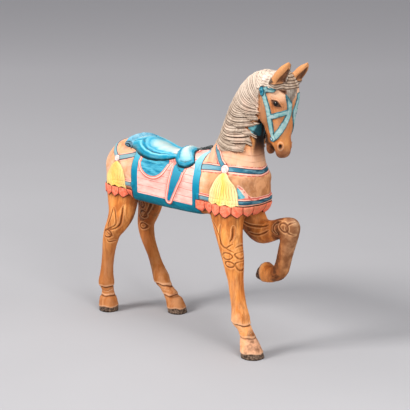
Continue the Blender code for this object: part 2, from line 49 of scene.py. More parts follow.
# Each loft is a list of stations (x, y, z, p, q, side, power): the ring's centre, its reach to
# either side along the plane of symmetry, its half width, and how square it is (2 is an ellipse),
# toward p and, where it differs, toward q.
# Trunk, tail to chest: p is the reach downward, q upward.
TRUNK = [(-.562, 0, .563, .018, .018, .022, 2.0), (-.555, 0, .566, .048, .046, .048, 2.0),
         (-.536, 0, .573, .074, .070, .072, 2.0), (-.500, 0, .582, .092, .094, .094, 2.1),
         (-.450, 0, .592, .102, .112, .108, 2.6, 2.2), (-.400, 0, .594, .104, .109, .112, 3.2, 2.2),
         (-.330, 0, .592, .102, .101, .110, 3.4, 2.2), (-.240, 0, .588, .100, .091, .107, 3.4, 2.2),
         (-.140, 0, .588, .100, .095, .107, 3.4, 2.2), (-.050, 0, .592, .102, .108, .107, 3.6, 2.2),
         (.030, 0, .600, .106, .113, .1085, 4.4, 2.2), (.100, 0, .604, .108, .108, .1085, 4.4, 2.2),
         (.150, 0, .605, .103, .094, .100, 3.4, 2.3), (.190, 0, .604, .094, .079, .084, 2.6, 2.2),
         (.218, 0, .602, .072, .062, .064, 2.2, 2.0), (.236, 0, .600, .040, .036, .036, 2.0)]
# Blanket: the same way, a little prouder than the trunk and squarer where it hangs.
BLANKET = [(-.345, 0, .598, .110, .102, .1135, 8., 2.2), (-.339, 0, .598, .112, .103, .1145, 8., 2.2),
           (-.240, 0, .598, .112, .087, .1135, 8., 2.2), (-.140, 0, .598, .110, .090, .1135, 8., 2.2),
           (-.050, 0, .600, .109, .105, .1140, 8., 2.2), (.018, 0, .602, .107, .116, .1145, 8., 2.2),
           (.024, 0, .602, .105, .114, .1135, 8., 2.2)]
# Saddle pad.
SADDLE = [(-.413, 0, .700, .008, .010, .050, 2.1), (-.398, 0, .693, .014, .024, .070, 2.1),
          (-.362, 0, .683, .020, .040, .084, 2.1), (-.320, 0, .677, .021, .039, .090, 2.1),
          (-.270, 0, .670, .020, .030, .091, 2.1), (-.210, 0, .671, .018, .025, .090, 2.1),
          (-.150, 0, .676, .014, .032, .090, 2.1), (-.115, 0, .679, .014, .039, .091, 2.1),
          (-.090, 0, .673, .024, .047, .097, 2.1), (-.050, 0, .671, .026, .051, .099, 2.1),
          (-.015, 0, .680, .022, .045, .088, 2.1), (.004, 0, .700, .012, .025, .064, 2.1)]
# Neck, withers to poll: p is the reach forward to the throat, q back to the crest.
NECK = [(.100, 0, .620, .095, .118, .092, 2.2), (.110, 0, .700, .120, .116, .080, 2.2),
        (.122, 0, .755, .106, .090, .067, 2.1), (.138, 0, .820, .093, .080, .056, 2.0),
        (.160, 0, .880, .087, .075, .050, 2.0), (.195, 0, .940, .076, .070, .046, 2.0),
        (.235, 0, .982, .060, .060, .044, 2.0), (.280, 0, 1.001, .045, .043, .042, 2.0)]
# Head, poll to lips: p is the reach back to the jaw, q forward to the face.
HEAD = [(.300, 0, 1.044, .036, .040, .028, 2.2), (.302, 0, 1.030, .056, .060, .045, 2.3),
        (.304, 0, .995, .066, .073, .054, 2.5), (.305, 0, .950, .066, .072, .056, 2.7),
        (.306, 0, .914, .062, .063, .051, 2.7), (.308, 0, .880, .058, .056, .044, 2.5),
        (.311, 0, .848, .056, .050, .038, 2.4), (.316, 0, .815, .048, .040, .034, 2.3),
        (.324, 0, .790, .026, .032, .033, 2.2), (.327, 0, .770, .019, .029, .032, 2.1),
        (.327, 0, .753, .013, .022, .027, 2.0), (.327, 0, .743, .005, .010, .012, 2.0)]
LOWER_JAW = [(.285, 0, .860, .030, .020, .028, 2.0), (.281, 0, .825, .026, .020, .025, 2.0),
             (.277, 0, .797, .020, .014, .023, 2.0), (.275, 0, .778, .018, .013, .021, 2.0),
             (.274, 0, .760, .015, .012, .019, 2.0), (.274, 0, .749, .007, .006, .009, 2.0)]
# Legs, top to hoof: p is the reach to the back of the leg, q to its front.
RIGHT_HIND = [(-.455, -.052, .600, .075, .075, .052, 2.1), (-.450, -.060, .520, .078, .078, .052, 2.1),
              (-.445, -.070, .460, .066, .072, .048, 2.1), (-.442, -.080, .415, .056, .058, .044, 2.1),
              (-.460, -.087, .370, .046, .046, .038, 2.0), (-.483, -.090, .330, .040, .034, .032, 2.0),
              (-.498, -.091, .290, .034, .030, .029, 2.0), (-.510, -.091, .235, .027, .026, .0255, 2.0),
              (-.518, -.091, .190, .0255, .025, .0240, 2.0), (-.523, -.090, .150, .029, .027, .027, 2.0),
              (-.525, -.090, .114, .037, .031, .032, 2.0), (-.522, -.089, .094, .026, .026, .0250, 2.0),
              (-.520, -.088, .074, .026, .025, .0250, 2.0), (-.519, -.088, .052, .033, .030, .030, 2.0)]
LEFT_HIND = [(-.450, .052, .600, .070, .070, .052, 2.1), (-.430, .062, .500, .076, .052, .050, 2.1),
             (-.438, .078, .430, .070, .046, .045, 2.1), (-.465, .087, .378, .053, .042, .038, 2.0),
             (-.482, .090, .335, .042, .034, .032, 2.0), (-.480, .090, .298, .034, .032, .030, 2.0),
             (-.466, .089, .260, .028, .028, .027, 2.0), (-.440, .089, .210, .0245, .0245, .024, 2.0),
             (-.418, .089, .165, .028, .027, .026, 2.0), (-.393, .088, .124, .036, .032, .032, 2.0),
             (-.373, .088, .098, .025, .026, .0250, 2.0), (-.353, .088, .077, .025, .026, .0250, 2.0),
             (-.330, .088, .055, .031, .031, .030, 2.0)]
RIGHT_FORE = [(.118, -.050, .600, .070, .070, .052, 2.1), (.124, -.062, .530, .078, .070, .054, 2.1),
              (.135, -.074, .480, .062, .062, .048, 2.1), (.146, -.080, .440, .051, .054, .044, 2.1),
              (.155, -.081, .400, .045, .051, .040, 2.0), (.163, -.080, .360, .040, .048, .037, 2.0),
              (.170, -.079, .320, .034, .041, .034, 2.0), (.178, -.078, .280, .030, .031, .029, 2.0),
              (.185, -.078, .235, .029, .029, .028, 2.0), (.196, -.077, .180, .030, .029, .028, 2.0),
              (.206, -.076, .134, .041, .034, .034, 2.0), (.218, -.075, .110, .028, .027, .026, 2.0),
              (.229, -.074, .088, .026, .027, .0260, 2.0), (.241, -.072, .058, .031, .032, .031, 2.0)]
LEFT_ARM = [(.100, .048, .600, .068, .068, .052, 2.1), (.108, .056, .520, .0635, .068, .052, 2.1),
            (.128, .062, .468, .0510, .062, .048, 2.0), (.172, .064, .440, .053, .046, .043, 2.0),
            (.228, .063, .448, .040, .038, .037, 2.0), (.280, .062, .470, .035, .035, .034, 2.0),
            (.315, .061, .482, .028, .032, .032, 2.0)]
LEFT_CANNON = [(.322, .061, .484, .030, .026, .032, 2.0), (.322, .060, .458, .032, .030, .032, 2.0),
               (.313, .059, .420, .036, .028, .029, 2.0), (.300, .058, .370, .0355, .026, .0270, 2.0),
               (.288, .057, .332, .0300, .027, .029, 2.0), (.279, .056, .308, .031, .027, .032, 2.0),
               (.264, .056, .291, .026, .027, .029, 2.0), (.240, .055, .284, .027, .028, .029, 2.0)]
TAIL = [(-.530, 0, .625, .018, .018, .020, 2.0), (-.553, 0, .595, .020, .018, .022, 2.0),
        (-.563, 0, .545, .020, .022, .024, 2.0), (-.564, 0, .490, .019, .022, .024, 2.0),
        (-.560, 0, .440, .016, .018, .020, 2.0), (-.556, 0, .412, .006, .006, .008, 2.0)]
# Hooves, coronet to ground: p is the reach back, q forward; the rings are level.
HOOVES = [[(-.520, -.088, .058, .034, .033, .033, 2.2), (-.518, -.088, .022, .038, .039, .038, 2.2),
           (-.517, -.088, -.015, .037, .041, .038, 2.2)],
          [(-.324, .088, .058, .030, .034, .031, 2.2), (-.309, .088, .020, .036, .040, .037, 2.2),
           (-.298, .088, -.015, .038, .044, .040, 2.2)],
          [(.240, -.072, .060, .032, .035, .033, 2.2), (.252, -.071, .020, .038, .044, .041, 2.2),
           (.258, -.070, -.015, .040, .049, .044, 2.2)]]
RAISED_HOOF = [(.252, .055, .286, .026, .026, .028, 2.0), (.234, .055, .283, .031, .032, .032, 2.1),
               (.208, .055, .285, .035, .036, .038, 2.2), (.187, .055, .292, .036, .039, .041, 2.2)]
LEFT_EAR = [(.320, .044, .992, .018, .016, .020, 2.0), (.336, .046, 1.016, .019, .017, .0245, 2.0),
            (.355, .047, 1.038, .0190, .018, .0262, 2.0), (.374, .048, 1.058, .016, .016, .0222, 2.0),
            (.389, .047, 1.073, .009, .009, .0135, 2.0), (.398, .046, 1.084, .003, .003, .004, 2.0)]
RIGHT_EAR = [(.318, -.044, .992, .018, .016, .020, 2.0), (.334, -.046, 1.019, .019, .017, .0245, 2.0),
             (.352, -.047, 1.043, .0190, .018, .0262, 2.0), (.372, -.048, 1.066, .016, .016, .0222, 2.0),
             (.386, -.047, 1.083, .009, .009, .0135, 2.0), (.395, -.046, 1.096, .003, .003, .004, 2.0)]
CANTLE_ROLL = [(-.384, -.093, .697), (-.399, -.056, .712), (-.403, 0, .717), (-.403, .050, .708),
               (-.397, .086, .688)]
# Swellings: centre, radii. Those with a side are made on both.
SWELLINGS = [((.095, .055, .590), (.085, .050, .095)), ((.165, .046, .572), (.060, .046, .070)),
             ((.150, .018, .645), (.086, .080, .056)),
             ((-.450, .058, .556), (.085, .050, .105)),
             ((.284, .026, .905), (.048, .024, .054)), ((.337, .044, .955), (.026, .013, .018)),
             ((.336, .022, .794), (.015, .012, .016))]
KNEE = ((.322, .061, .474), (.034, .033, .040))
POMMEL = ((-.084, 0, .710), (-.016, 0, .735), .0070)   # from, to, half thickness


def finer(rows, steps):
    """The stations with others between them on a smooth curve through them."""
    rows = np.array(rows, float)
    ends = np.vstack([2 * rows[0] - rows[1], rows, 2 * rows[-1] - rows[-2]])
    out = []
    for a, b, c, d in zip(ends, ends[1:], ends[2:], ends[3:]):
        for t in np.arange(steps) / steps:
            out.append(b + t * .5 * (c - a) + t * t * (a - 2.5 * b + 2 * c - .5 * d)
                       + t ** 3 * (1.5 * (b - c) + .5 * (d - a)))
    return np.array(out + [rows[-1]])


def skin(bm, rings):
    """One closed body from a row of rings with the same number of points."""
    loops = [[bm.verts.new(p) for p in ring] for ring in rings]
    faces = []
    for loop, ring in ((loops[0][::-1], rings[0]), (loops[-1], rings[-1])):
        hub = bm.verts.new(ring.mean(0))
        faces += [bm.faces.new((hub, v, w)) for v, w in zip(loop, loop[1:] + loop[:1])]
    for low, high in zip(loops, loops[1:]):
        for i in range(len(low)):
            j = (i + 1) % len(low)
            faces.append(bm.faces.new((low[i], low[j], high[j], high[i])))
    bmesh.ops.recalc_face_normals(bm, faces=faces)


def loft(bm, rows, steps=4, level=False, lean=None):
    rows = finer([(*r, r[6])[:8] for r in rows], steps)
    centre = rows[:, :3]
    way = np.gradient(centre, axis=0)
    if level:
        way = np.tile((0., 0., -1.), (len(rows), 1))
    way /= np.linalg.norm(way, axis=1)[:, None]
    side = np.array((0., 1., 0.)) - way * way[:, 1:2]
    side /= np.linalg.norm(side, axis=1)[:, None]
    out = np.cross(side, way)
    turn = np.arange(RING) * 2 * np.pi / RING
    c, s = np.cos(turn), np.sin(turn)
    rings = []
    for row, o, v in zip(rows, out, side):
        p, q, b, n, m = np.maximum(row[3:], (1e-3, 1e-3, 1e-3, 1.8, 1.8))
        n = np.where(c > 0, n, m)
        u = np.where(c > 0, p, q) * np.sign(c) * np.abs(c) ** (2 / n)
        w = b * np.sign(s) * np.abs(s) ** (2 / n)
        ring = row[:3] + u[:, None] * o + w[:, None] * v
        rings.append(ring if lean is None else lean(ring))
    skin(bm, rings)


def egg(bm, centre, radii):
    made = bmesh.ops.create_icosphere(bm, subdivisions=3, radius=1)["verts"]
    for v in made:
        v.co = [c + r * x for c, r, x in zip(centre, radii, v.co)]


def rod(bm, path, radius, steps=6):
    """A round rod along a path of points."""
    path = finer(path, steps)
    loft(bm, [(*p, radius, radius, radius, 2.0) for p in path], steps=1)


def swept(ring):
    """The blanket's front edge runs back over the withers."""
    if ring[0, 0] > -.1:
        ring = ring - np.outer(.030 * np.clip((ring[:, 2] - .655) / .055, 0, 1), (1., 0., 0.))
    return ring


def drawn_back(x, side):
    """How far the saddle's front edge runs back from its lobes to the spine."""
    t = np.clip((x + .190) / .180, 0, 1)
    return .085 * t * t * (3 - 2 * t) * np.clip(1 - (side / .088) ** 2, 0, 1)


def settled(seat, y):
    """How much lower the saddle's left side lies than its right."""
    rear, front = np.clip((seat + .38) / .05, 0, 1), np.clip((seat + .15) / .06, 0, 1)
    return np.clip(y / .05, 0, 1) * (.009 * rear + .010 * front)


def arched(ring):
    x, y, z = ring.T
    return np.stack([x - drawn_back(x, y), y, z - settled(x, y)], 1)


def rough_blocks():
    """Every block of the horse in one mesh, overlapping, before they are joined."""
    bm = bmesh.new()
    loft(bm, TRUNK)
    loft(bm, BLANKET, steps=1, lean=swept)
    loft(bm, SADDLE, lean=arched)
    loft(bm, NECK)
    loft(bm, HEAD)
    loft(bm, LOWER_JAW)
    for rows in (RIGHT_HIND, LEFT_HIND, RIGHT_FORE, LEFT_ARM, LEFT_CANNON, RAISED_HOOF, TAIL,
                 LEFT_EAR, RIGHT_EAR):
        loft(bm, rows)
    for rows in HOOVES:
        loft(bm, rows, level=True)
    for centre, radii in SWELLINGS:
        for side in (1, -1):
            egg(bm, (centre[0], side * centre[1], centre[2]), radii)
    egg(bm, *KNEE)
    rod(bm, CANTLE_ROLL, .0135)
    rod(bm, [POMMEL[0], POMMEL[1]], POMMEL[2], steps=2)
    return bm


def joined(bm, voxel):
    """The blocks joined into one skin of small quads: points and quads."""
    mesh = bpy.data.meshes.new("blocks")
    bm.to_mesh(mesh)
    bm.free()
    blocks = bpy.data.objects.new("blocks", mesh)
    bpy.context.scene.collection.objects.link(blocks)
    remesh = blocks.modifiers.new("join", "REMESH")
    remesh.mode = "VOXEL"
    remesh.voxel_size = voxel
    remesh.adaptivity = 0
    bpy.context.view_layer.update()
    made = blocks.evaluated_get(bpy.context.evaluated_depsgraph_get()).to_mesh()
    points = np.empty(len(made.vertices) * 3)
    made.vertices.foreach_get("co", points)
    quads = np.empty(len(made.polygons) * 4, int)
    made.polygons.foreach_get("vertices", quads)
    bpy.data.objects.remove(blocks)
    bpy.data.meshes.remove(mesh)
    return points.reshape(-1, 3), quads.reshape(-1, 4)


def edges_of(quads):
    ends = np.concatenate([quads, np.roll(quads, -1, 1)], 0).reshape(2, -1).T
    return np.unique(np.sort(ends, 1), axis=0)


def softened(points, edges, share, rounds):
    """Points drawn toward the mean of their neighbours, each by its own share."""
    a, b = np.concatenate([edges, edges[:, ::-1]]).T
    count = np.bincount(a, minlength=len(points))
    for _ in range(rounds):
        mean = np.stack([np.bincount(a, points[b, i], len(points)) for i in range(3)], 1)
        points = points + share[:, None] * (mean / count[:, None] - points)
    return points

# ---- the carving on the skin -------------------------------------------------------
# Paths lie on the right side and are used on both. Lengths are from the middle of each band.
BREAST_STRAP = [(.010, .088, .674), (.055, .087, .679), (.105, .086, .683), (.132, .087, .685),
                (.170, .077, .687), (.202, .058, .685), (.223, .028, .681), (.228, 0, .677)]
LOWER_STRAP = [(.015, .112, .568), (.066, .110, .568), (.150, .106, .570), (.190, .085, .572),
               (.217, .058, .572), (.230, .025, .572), (.236, 0, .572)]
HAUNCH_STRAP = [(-.340, .112, .552), (-.400, .110, .550), (-.470, .098, .548)]
RUMP_STRAP = [(-.340, .100, .668), (-.381, .097, .655), (-.432, .101, .641)]
CROUP_STRAP = [(-.432, .101, .641), (-.452, .094, .655), (-.470, .080, .667), (-.486, .060, .679),
               (-.497, .030, .686), (-.500, 0, .688)]
COLLAR_STRAP = [(.124, .086, .688), (.101, .081, .708), (.084, .078, .732), (.068, .067, .750)]
EAR_AXIS = [(.322, .044, .995), (.355, .047, 1.040), (.397, .046, 1.090)]
CHEEK_STRAP = [(.284, .055, .974), (.292, .058, .960), (.303, .056, .931), (.307, .050, .896),
               (.308, .043, .862), (.308, .035, .818)]
NOSE_STRAP = [(.372, .013, .917), (.368, .014, .904), (.361, .023, .880), (.345, .032, .849),
              (.324, .036, .823), (.308, .035, .813)]
FACE_STRAP = [(.375, .028, .985), (.376, .025, .963), (.376, .019, .944), (.372, .013, .917)]
SIDE_STRAP = [(.304, .051, .893), (.320, .049, .897), (.345, .044, .906), (.362, .028, .914),
              (.370, .016, .917)]
BROW_STRAP = [(.282, .054, .982), (.296, .055, .990), (.330, .057, .995)]
SADDLE_ROLLS = [[(-.386, .070, .706), (-.350, .066, .713), (-.322, .078, .700), (-.292, .082, .688),
                 (-.259, .083, .681), (-.217, .081, .681), (-.175, .080, .686), (-.128, .080, .693)],
                [(-.360, .040, .727), (-.335, .056, .717), (-.305, .067, .702), (-.275, .069, .692),
                 (-.240, .068, .688), (-.200, .066, .688), (-.150, .063, .695), (-.118, .066, .700)]]
LOBE_ROLL = [(-.112, .070, .700), (-.110, .084, .688), (-.093, .094, .674), (-.064, .097, .672),
             (-.036, .090, .684), (-.024, .074, .700), (-.020, .050, .713), (-.018, .020, .723),
             (-.018, 0, .725)]
CREST = [(.004, .712), (.030, .757), (.055, .820), (.085, .880), (.128, .940), (.178, .988),
         (.228, 1.026), (.275, 1.044), (.320, 1.046)]
MANE_FRONT = [(-.10, .766), (.052, .762), (.076, .749), (.102, .744), (.139, .743), (.184, .754), (.205, .783),
              (.217, .814), (.200, .838), (.226, .866), (.250, .900), (.254, .959), (.278, .995),
              (.300, 1.03), (.305, 1.10)]
TRIM_PITCH, HAUNCH_PITCH = .0415, .037
STRAP_RISE, BRIDLE_RISE, TASSEL_RISE, TRIM_RISE = .0030, .0032, .0060, .0045


def along(points, path):
    """Distance to a path and the length along it of the nearest place."""
    path = np.array(path, float)
    best, where, run = np.full(len(points), 9.), np.zeros(len(points)), 0.
    for a, b in zip(path, path[1:]):
        way, size = b - a, np.linalg.norm(b - a)
        t = np.clip((points - a) @ way / size ** 2, 0, 1)
        gap = np.linalg.norm(points - a - t[:, None] * way, axis=1)
        nearer = gap < best
        best, where = np.where(nearer, gap, best), np.where(nearer, run + t * size, where)
        run += size
    return best, where


def over(points, path):
    """How far above a path round the trunk each point is."""
    path = np.array(path, float)
    steps = np.append(0, np.cumsum(np.linalg.norm(np.diff(path[:, :2], axis=0), axis=1)))
    return points[:, 2] - np.interp(along(points[:, :2], path[:, :2])[1], steps, path[:, 2])


def near(points, centre, radius):
    return np.linalg.norm(points - np.array(centre), axis=1) - radius


def saddle_x(x, side):
    """The station of the saddle that each point belongs to."""
    seat = x
    for _ in range(24):
        seat = x + drawn_back(seat, side)
    return seat


def wide(v, table):
    """Looks v up in a table of (v, value) pairs."""
    low, value = np.array(sorted(table)).T
    return np.interp(v, low, value)


def regions(p):
    """How far each point is outside each carved or painted piece (less than 0 is inside)."""
    x, y, z = p.T
    q = np.stack([x, np.abs(y), z], 1)
    side = q[:, 1]
    on_head = x + .35 * (z - .95) > .262
    away = lambda hit: np.where(hit, -9., 9.)
    r = {}
    lean = np.clip((z - .655) / .055, 0, 1) * .030
    trunk = away((z > .47) & (z < .76))
    r["blanket"] = np.maximum.reduce([-.345 - x, x - .024 + lean, .4925 - z, trunk])
    pad = np.array(SADDLE)
    seat = saddle_x(x, side)
    hem = np.interp(seat, pad[:, 0], pad[:, 2] - pad[:, 3]) - settled(seat, y)
    r["saddle"] = np.maximum.reduce([hem - z, seat - .004, -.402 - x, trunk])
    r["roll"] = along(p, CANTLE_ROLL)[0] - .019
    r["flap"] = (np.hypot((x + .232) / .070, (z - .665) / .060) - 1) * .060
    r["flap_edge"] = (np.hypot((x + .232) / .083, (z - .665) / .073) - 1) * .070
    flat = np.stack([x, z], 1)
    gap, _ = along(flat, [(-.133, .533), (-.097, .624), (-.094, .680)])
    reach = wide(z, [(.50, .019), (.533, .021), (.581, .028), (.624, .035), (.665, .043)])
    r["leather_edge"], r["leather"] = gap - reach, gap - reach + .013
    for name, path in (("breast_strap", BREAST_STRAP), ("lower_strap", LOWER_STRAP)):
        r[name] = np.maximum.reduce([np.abs(over(q, path)) - .0090, path[0][0] - x, trunk])
    for name, path, half in (("haunch_strap", HAUNCH_STRAP, .0070), ("rump_strap", RUMP_STRAP, .0065),
                             ("croup_strap", CROUP_STRAP, .0065)):
        r[name] = np.maximum(along(q, path)[0] - half, trunk)
    r["collar_strap"] = np.maximum.reduce([along(flat, [c[::2] for c in COLLAR_STRAP])[0] - .0090,
                                           .03 - side, z - .757, trunk])
    for name, path, half in (("cheek_strap", CHEEK_STRAP, .0122), ("nose_strap", NOSE_STRAP, .0120),
                             ("face_strap", FACE_STRAP, .0112), ("side_strap", SIDE_STRAP, .0104),
                             ("brow_strap", BROW_STRAP, .0110)):
        r[name] = np.maximum(along(q, path)[0] - half, away(on_head))
    r["rosette"] = near(q, (.128, .082, .683), .0165)
    r["rump_rosette"] = near(q, (-.432, .102, .640), .0125)
    r["knot"] = near(q, (.280, .054, .979), .0125)
    r["ring"] = near(q, (.307, .034, .813), .0085)
    plan = q[:, :2]
    chest_run = along(plan, [c[:2] for c in LOWER_STRAP])[1]
    turn = np.abs((chest_run / TRIM_PITCH + .15) % 1 - .5) * 2
    below = .5560 - z
    r["trim"] = np.maximum.reduce([below - .0415 + .0165 * turn ** 1.1, -below,
                                   .010 - x, away((x > .010) & (z > .47))])
    r["trim_run"] = turn
    turn = np.abs(((x + .345) / HAUNCH_PITCH) % 1 - .5) * 2
    below = .5280 - z
    r["rump_trim"] = np.maximum.reduce([below - .0375 + .0145 * turn ** 1.1, -below,
                                        x + .340, away((x < -.3) & (z > .45) & (side > .03))])
    r["rump_trim_run"] = turn
    middle = wide(z, [(.668, .131), (.660, .132), (.635, .137), (.603, .134), (.560, .134)])
    half = wide(z, [(.673, .004), (.664, .020), (.648, .034), (.635, .044), (.603, .057), (.560, .063)])
    r["tassel"] = np.maximum.reduce([np.abs(x - middle) - half, .5600 - .0080 * r["trim_run"] - z, z - .673, away(side > .05)])
    r["tassel_run"] = (x - middle) / half
    middle = wide(z, [(.627, -.428), (.600, -.430), (.566, -.437), (.536, -.437)])
    half = wide(z, [(.630, .004), (.618, .026), (.600, .042), (.566, .057), (.536, .057)])
    r["rump_tassel"] = np.maximum.reduce([np.abs(x - middle) - half, .5350 - .0080 * r["rump_trim_run"] - z, z - .630, away(side > .04)])
    r["rump_tassel_run"] = (x - middle) / half
    crest, run = along(flat, CREST)
    r["mane"] = np.maximum.reduce([beside(flat, MANE_FRONT), .031 - along(q, EAR_AXIS)[0], .002 - x])
    r["mane_fall"], r["mane_run"] = crest, run
    return r


def beside(points, path):
    """Distance to a flat path, less than 0 to the left of the way it runs."""
    best, sign = np.full(len(points), 9.), np.ones(len(points))
    for a, b in zip(np.array(path), np.array(path[1:])):
        way = b - a
        t = np.clip((points - a) @ way / (way @ way), 0, 1)
        off = points - a - t[:, None] * way
        gap = np.hypot(*off.T)
        nearer = gap < best
        turn = way[0] * (points[:, 1] - a[1]) - way[1] * (points[:, 0] - a[0])
        best, sign = np.where(nearer, gap, best), np.where(nearer, -np.sign(turn), sign)
    return best * sign


def raised(gap, rise, slope=.004):
    """A flat-topped band: `rise` inside, nothing outside, with a sloped edge."""
    return rise * np.clip(.5 - gap / slope, 0, 1)


def relief(p, r):
    """How far each point of the smooth form moves out along its normal."""
    h = np.zeros(len(p))
    for name in ("breast_strap", "lower_strap", "haunch_strap", "rump_strap", "croup_strap", "collar_strap"):
        h = np.maximum(h, raised(r[name] - .003, STRAP_RISE))
    for name in ("cheek_strap", "nose_strap", "face_strap", "side_strap", "brow_strap"):
        h = np.maximum(h, raised(r[name], BRIDLE_RISE))
    on_cloth = (r["blanket"] < 0) & (r["saddle"] > .004)
    h = np.where(on_cloth, np.maximum(h, raised(r["flap_edge"], .003)), h)
    h = np.where(on_cloth, np.maximum(h, raised(r["leather_edge"], .004)), h)
    h = np.maximum(h, raised(r["trim"], TRIM_RISE))
    h = np.maximum(h, raised(r["rump_trim"], TRIM_RISE))
    for name, rise in (("tassel", TASSEL_RISE), ("rump_tassel", TASSEL_RISE)):
        run = np.clip(1 - r[name + "_run"] ** 2, 0, 1)
        h = np.maximum(h, raised(r[name], rise * .5) + np.where(r[name] < 0, rise * .6 * run, 0))
    h = np.maximum(h, raised(r["rosette"], .008))
    h = np.maximum(h, raised(r["rump_rosette"], .007))
    h = np.maximum(h, raised(r["knot"], .005))
    h = np.maximum(h, raised(r["ring"], .004))
    seat = saddle_x(p[:, 0], p[:, 1])
    q = np.stack([seat, np.abs(p[:, 1]), p[:, 2] + settled(seat, p[:, 1])], 1)
    rolls = np.minimum.reduce([along(q, path)[0] for path in SADDLE_ROLLS + [LOBE_ROLL]])
    h += np.where(r["saddle"] < .004, .0035 * np.clip(1 - (rolls / .008) ** 2, 0, 1), 0)
    return h


def smooth_form(voxel):
    """The whole horse without its carving: blocks joined and creases eased."""
    points, quads = joined(rough_blocks(), voxel)
    x, y, z = points.T
    edges = edges_of(quads)
    crisp = (x + .35 * (z - .95) > .30) | (z < .06) | ((z > .66) & (x < .02) & (x > -.42))
    points = softened(points, edges, np.where(crisp, .30, .50), 8)
    return points, quads, edges


def normals_of(points, quads):
    a, b, c, d = points[quads].transpose(1, 0, 2)
    flat = np.cross(c - a, d - b)
    out = np.stack([np.bincount(quads.ravel(), np.repeat(flat[:, i], 4), len(points)) for i in range(3)], 1)
    return out / np.maximum(np.linalg.norm(out, axis=1), 1e-12)[:, None]


# ---- finer carving, cut into the visible mesh ---------------------------------------
# Where each lock of the mane begins, as a length up the crest, and how far the strands run on
# toward the poll as they fall away from it.
LOCKS = [-.06, -.02, .020, .052, .080, .106, .122, .135, .163, .185, .207, .241, .262, .283, .324, .345, .372,
         .405, .44, .47]
SWEEP = [(-.1, 0), (.04, 0), (.080, .016), (.106, .030), (.135, .050), (.163, .068), (.207, .085), (.241, .088),
         (.283, .068), (.324, .040), (.40, -.01), (.5, -.02)]
STRAND = .0092
HEM = [(-.402, .700), (-.390, .692), (-.377, .689), (-.345, .684), (-.331, .673), (-.301, .664),
       (-.272, .660), (-.233, .661), (-.187, .668), (-.149, .678), (-.124, .687), (-.119, .672),
       (-.108, .662), (-.095, .659), (-.065, .660), (-.044, .667), (-.027, .677), (-.017, .692),
       (.004, .712)]
DIAGONAL = [(.140, .084, .672), (.180, .081, .645), (.204, .075, .617), (.222, .060, .589),
            (.232, .030, .580)]
HAUNCH_RED = [(-.340, .112, .566), (-.400, .110, .564), (-.470, .098, .562)]
RUMP_RED = [(-.336, .105, .647), (-.381, .103, .636), (-.420, .104, .626)]
TRIANGLE = [(.186, .634), (.190, .584), (.217, .589)]
THROAT_LEAF = [(.196, .841), (.240, .860), (.228, .808)]
EYE, EYE_WAY = (.341, .0535, .9445), (.034, -.014, -.0225)
# Grooves on the legs, each on one leg only: path (x, z), the y of that skin, half width, depth.
# Closed loops are given by their middle, half length, half width and tilt.
CUTS = [
    ([(.091, .492), (.120, .470), (.138, .440), (.146, .415), (.166, .404), (.190, .422)], -.118, .0036, .0030),
    ([(.141, .487), (.140, .452), (.150, .418), (.170, .403), (.194, .392)], -.118, .0034, .0030),
    ([(.186, .486), (.188, .448), (.180, .424)], -.110, .0036, .0030),
    ([(.203, .482), (.210, .448), (.208, .420), (.198, .408)], -.085, .0034, .0028),
    ([(.207, .392), (.198, .384), (.203, .372), (.212, .362)], -.090, .0034, .0030),
    ([(.212, .358), (.200, .350), (.201, .338), (.208, .322), (.214, .316)], -.090, .0034, .0030),
    ([(-.442, .446), (-.456, .405), (-.470, .376), (-.474, .354)], -.122, .0038, .0032),
    ([(-.436, .446), (-.428, .405), (-.434, .374), (-.474, .352), (-.486, .350)], -.117, .0038, .0032),
    ([(-.398, .456), (-.402, .420), (-.412, .384), (-.436, .360), (-.470, .350)], -.105, .0040, .0034),
    ([(-.492, .346), (-.474, .334), (-.458, .324)], -.117, .0030, .0026),
    ([(-.486, .308), (-.478, .297), (-.462, .302)], -.112, .0034, .0028),
    ([(-.392, .470), (-.404, .432), (-.424, .402), (-.452, .378)], .050, .0038, .0030),
    ([(.345, .502), (.330, .494), (.322, .478), (.334, .462), (.348, .456)], .036, .0036, .0030),
    ([(.292, .497), (.268, .486), (.262, .466), (.276, .450)], .034, .0036, .0030),
    ([(.110, .478), (.150, .462), (.196, .462), (.234, .474)], .022, .0040, .0032),
    ([(.150, .432), (.186, .430), (.214, .440), (.240, .456)], .024, .0038, .0030),
]
LOOPS = [((.170, .374), .021, .0125, .05, -.116, .0036, .0034), ((.179, .344), .018, .0105, -.10, -.113, .0036, .0034),
         ((-.480, .332), .021, .0155, .25, -.118, .0038, .0034), ((-.446, .432), .019, .0145, .9, .042, .0038, .0032),
         ((-.452, .386), .018, .0140, .5, .048, .0038, .0032), ((-.470, .330), .015, .0120, .3, .058, .0036, .0030),
         ((.312, .480), .020, .0150, -.4, .030, .0038, .0034)]
# Ledges round the legs: where (x, y), how high, how far out they reach, depth, tilt in x.
BANDS = [(-.524, -.090, .1030, .052, .0036, 0), (-.520, -.088, .0660, .055, .0022, 0),
         (-.384, .088, .1060, .052, .0036, .35), (-.340, .088, .0670, .060, .0022, .10),
         (.212, -.076, .1220, .055, .0036, .3), (.236, -.073, .0760, .055, .0022, .10)]


def crossed(p, way, up=(0, 0, 1)):
    """Two directions at right angles to each other, the first along `way`, in the skin there."""
    way = np.array(way, float) / np.linalg.norm(way)
    return p @ way, p @ np.cross(np.cross(way, up), way)


def inside(flat, corners):
    """Signed distance to a flat convex polygon, less than 0 inside."""
    corners, gaps = np.array(corners), []
    for a, b in zip(corners, np.roll(corners, -1, 0)):
        out = np.array((b[1] - a[1], a[0] - b[0])) / np.linalg.norm(b - a)
        gaps.append((flat - a) @ out * np.sign((a - corners.mean(0)) @ out))
    return np.maximum.reduce(gaps)


def ease(v, low, high):
    t = np.clip((v - low) / (high - low), 0, 1)
    return t * t * (3 - 2 * t)


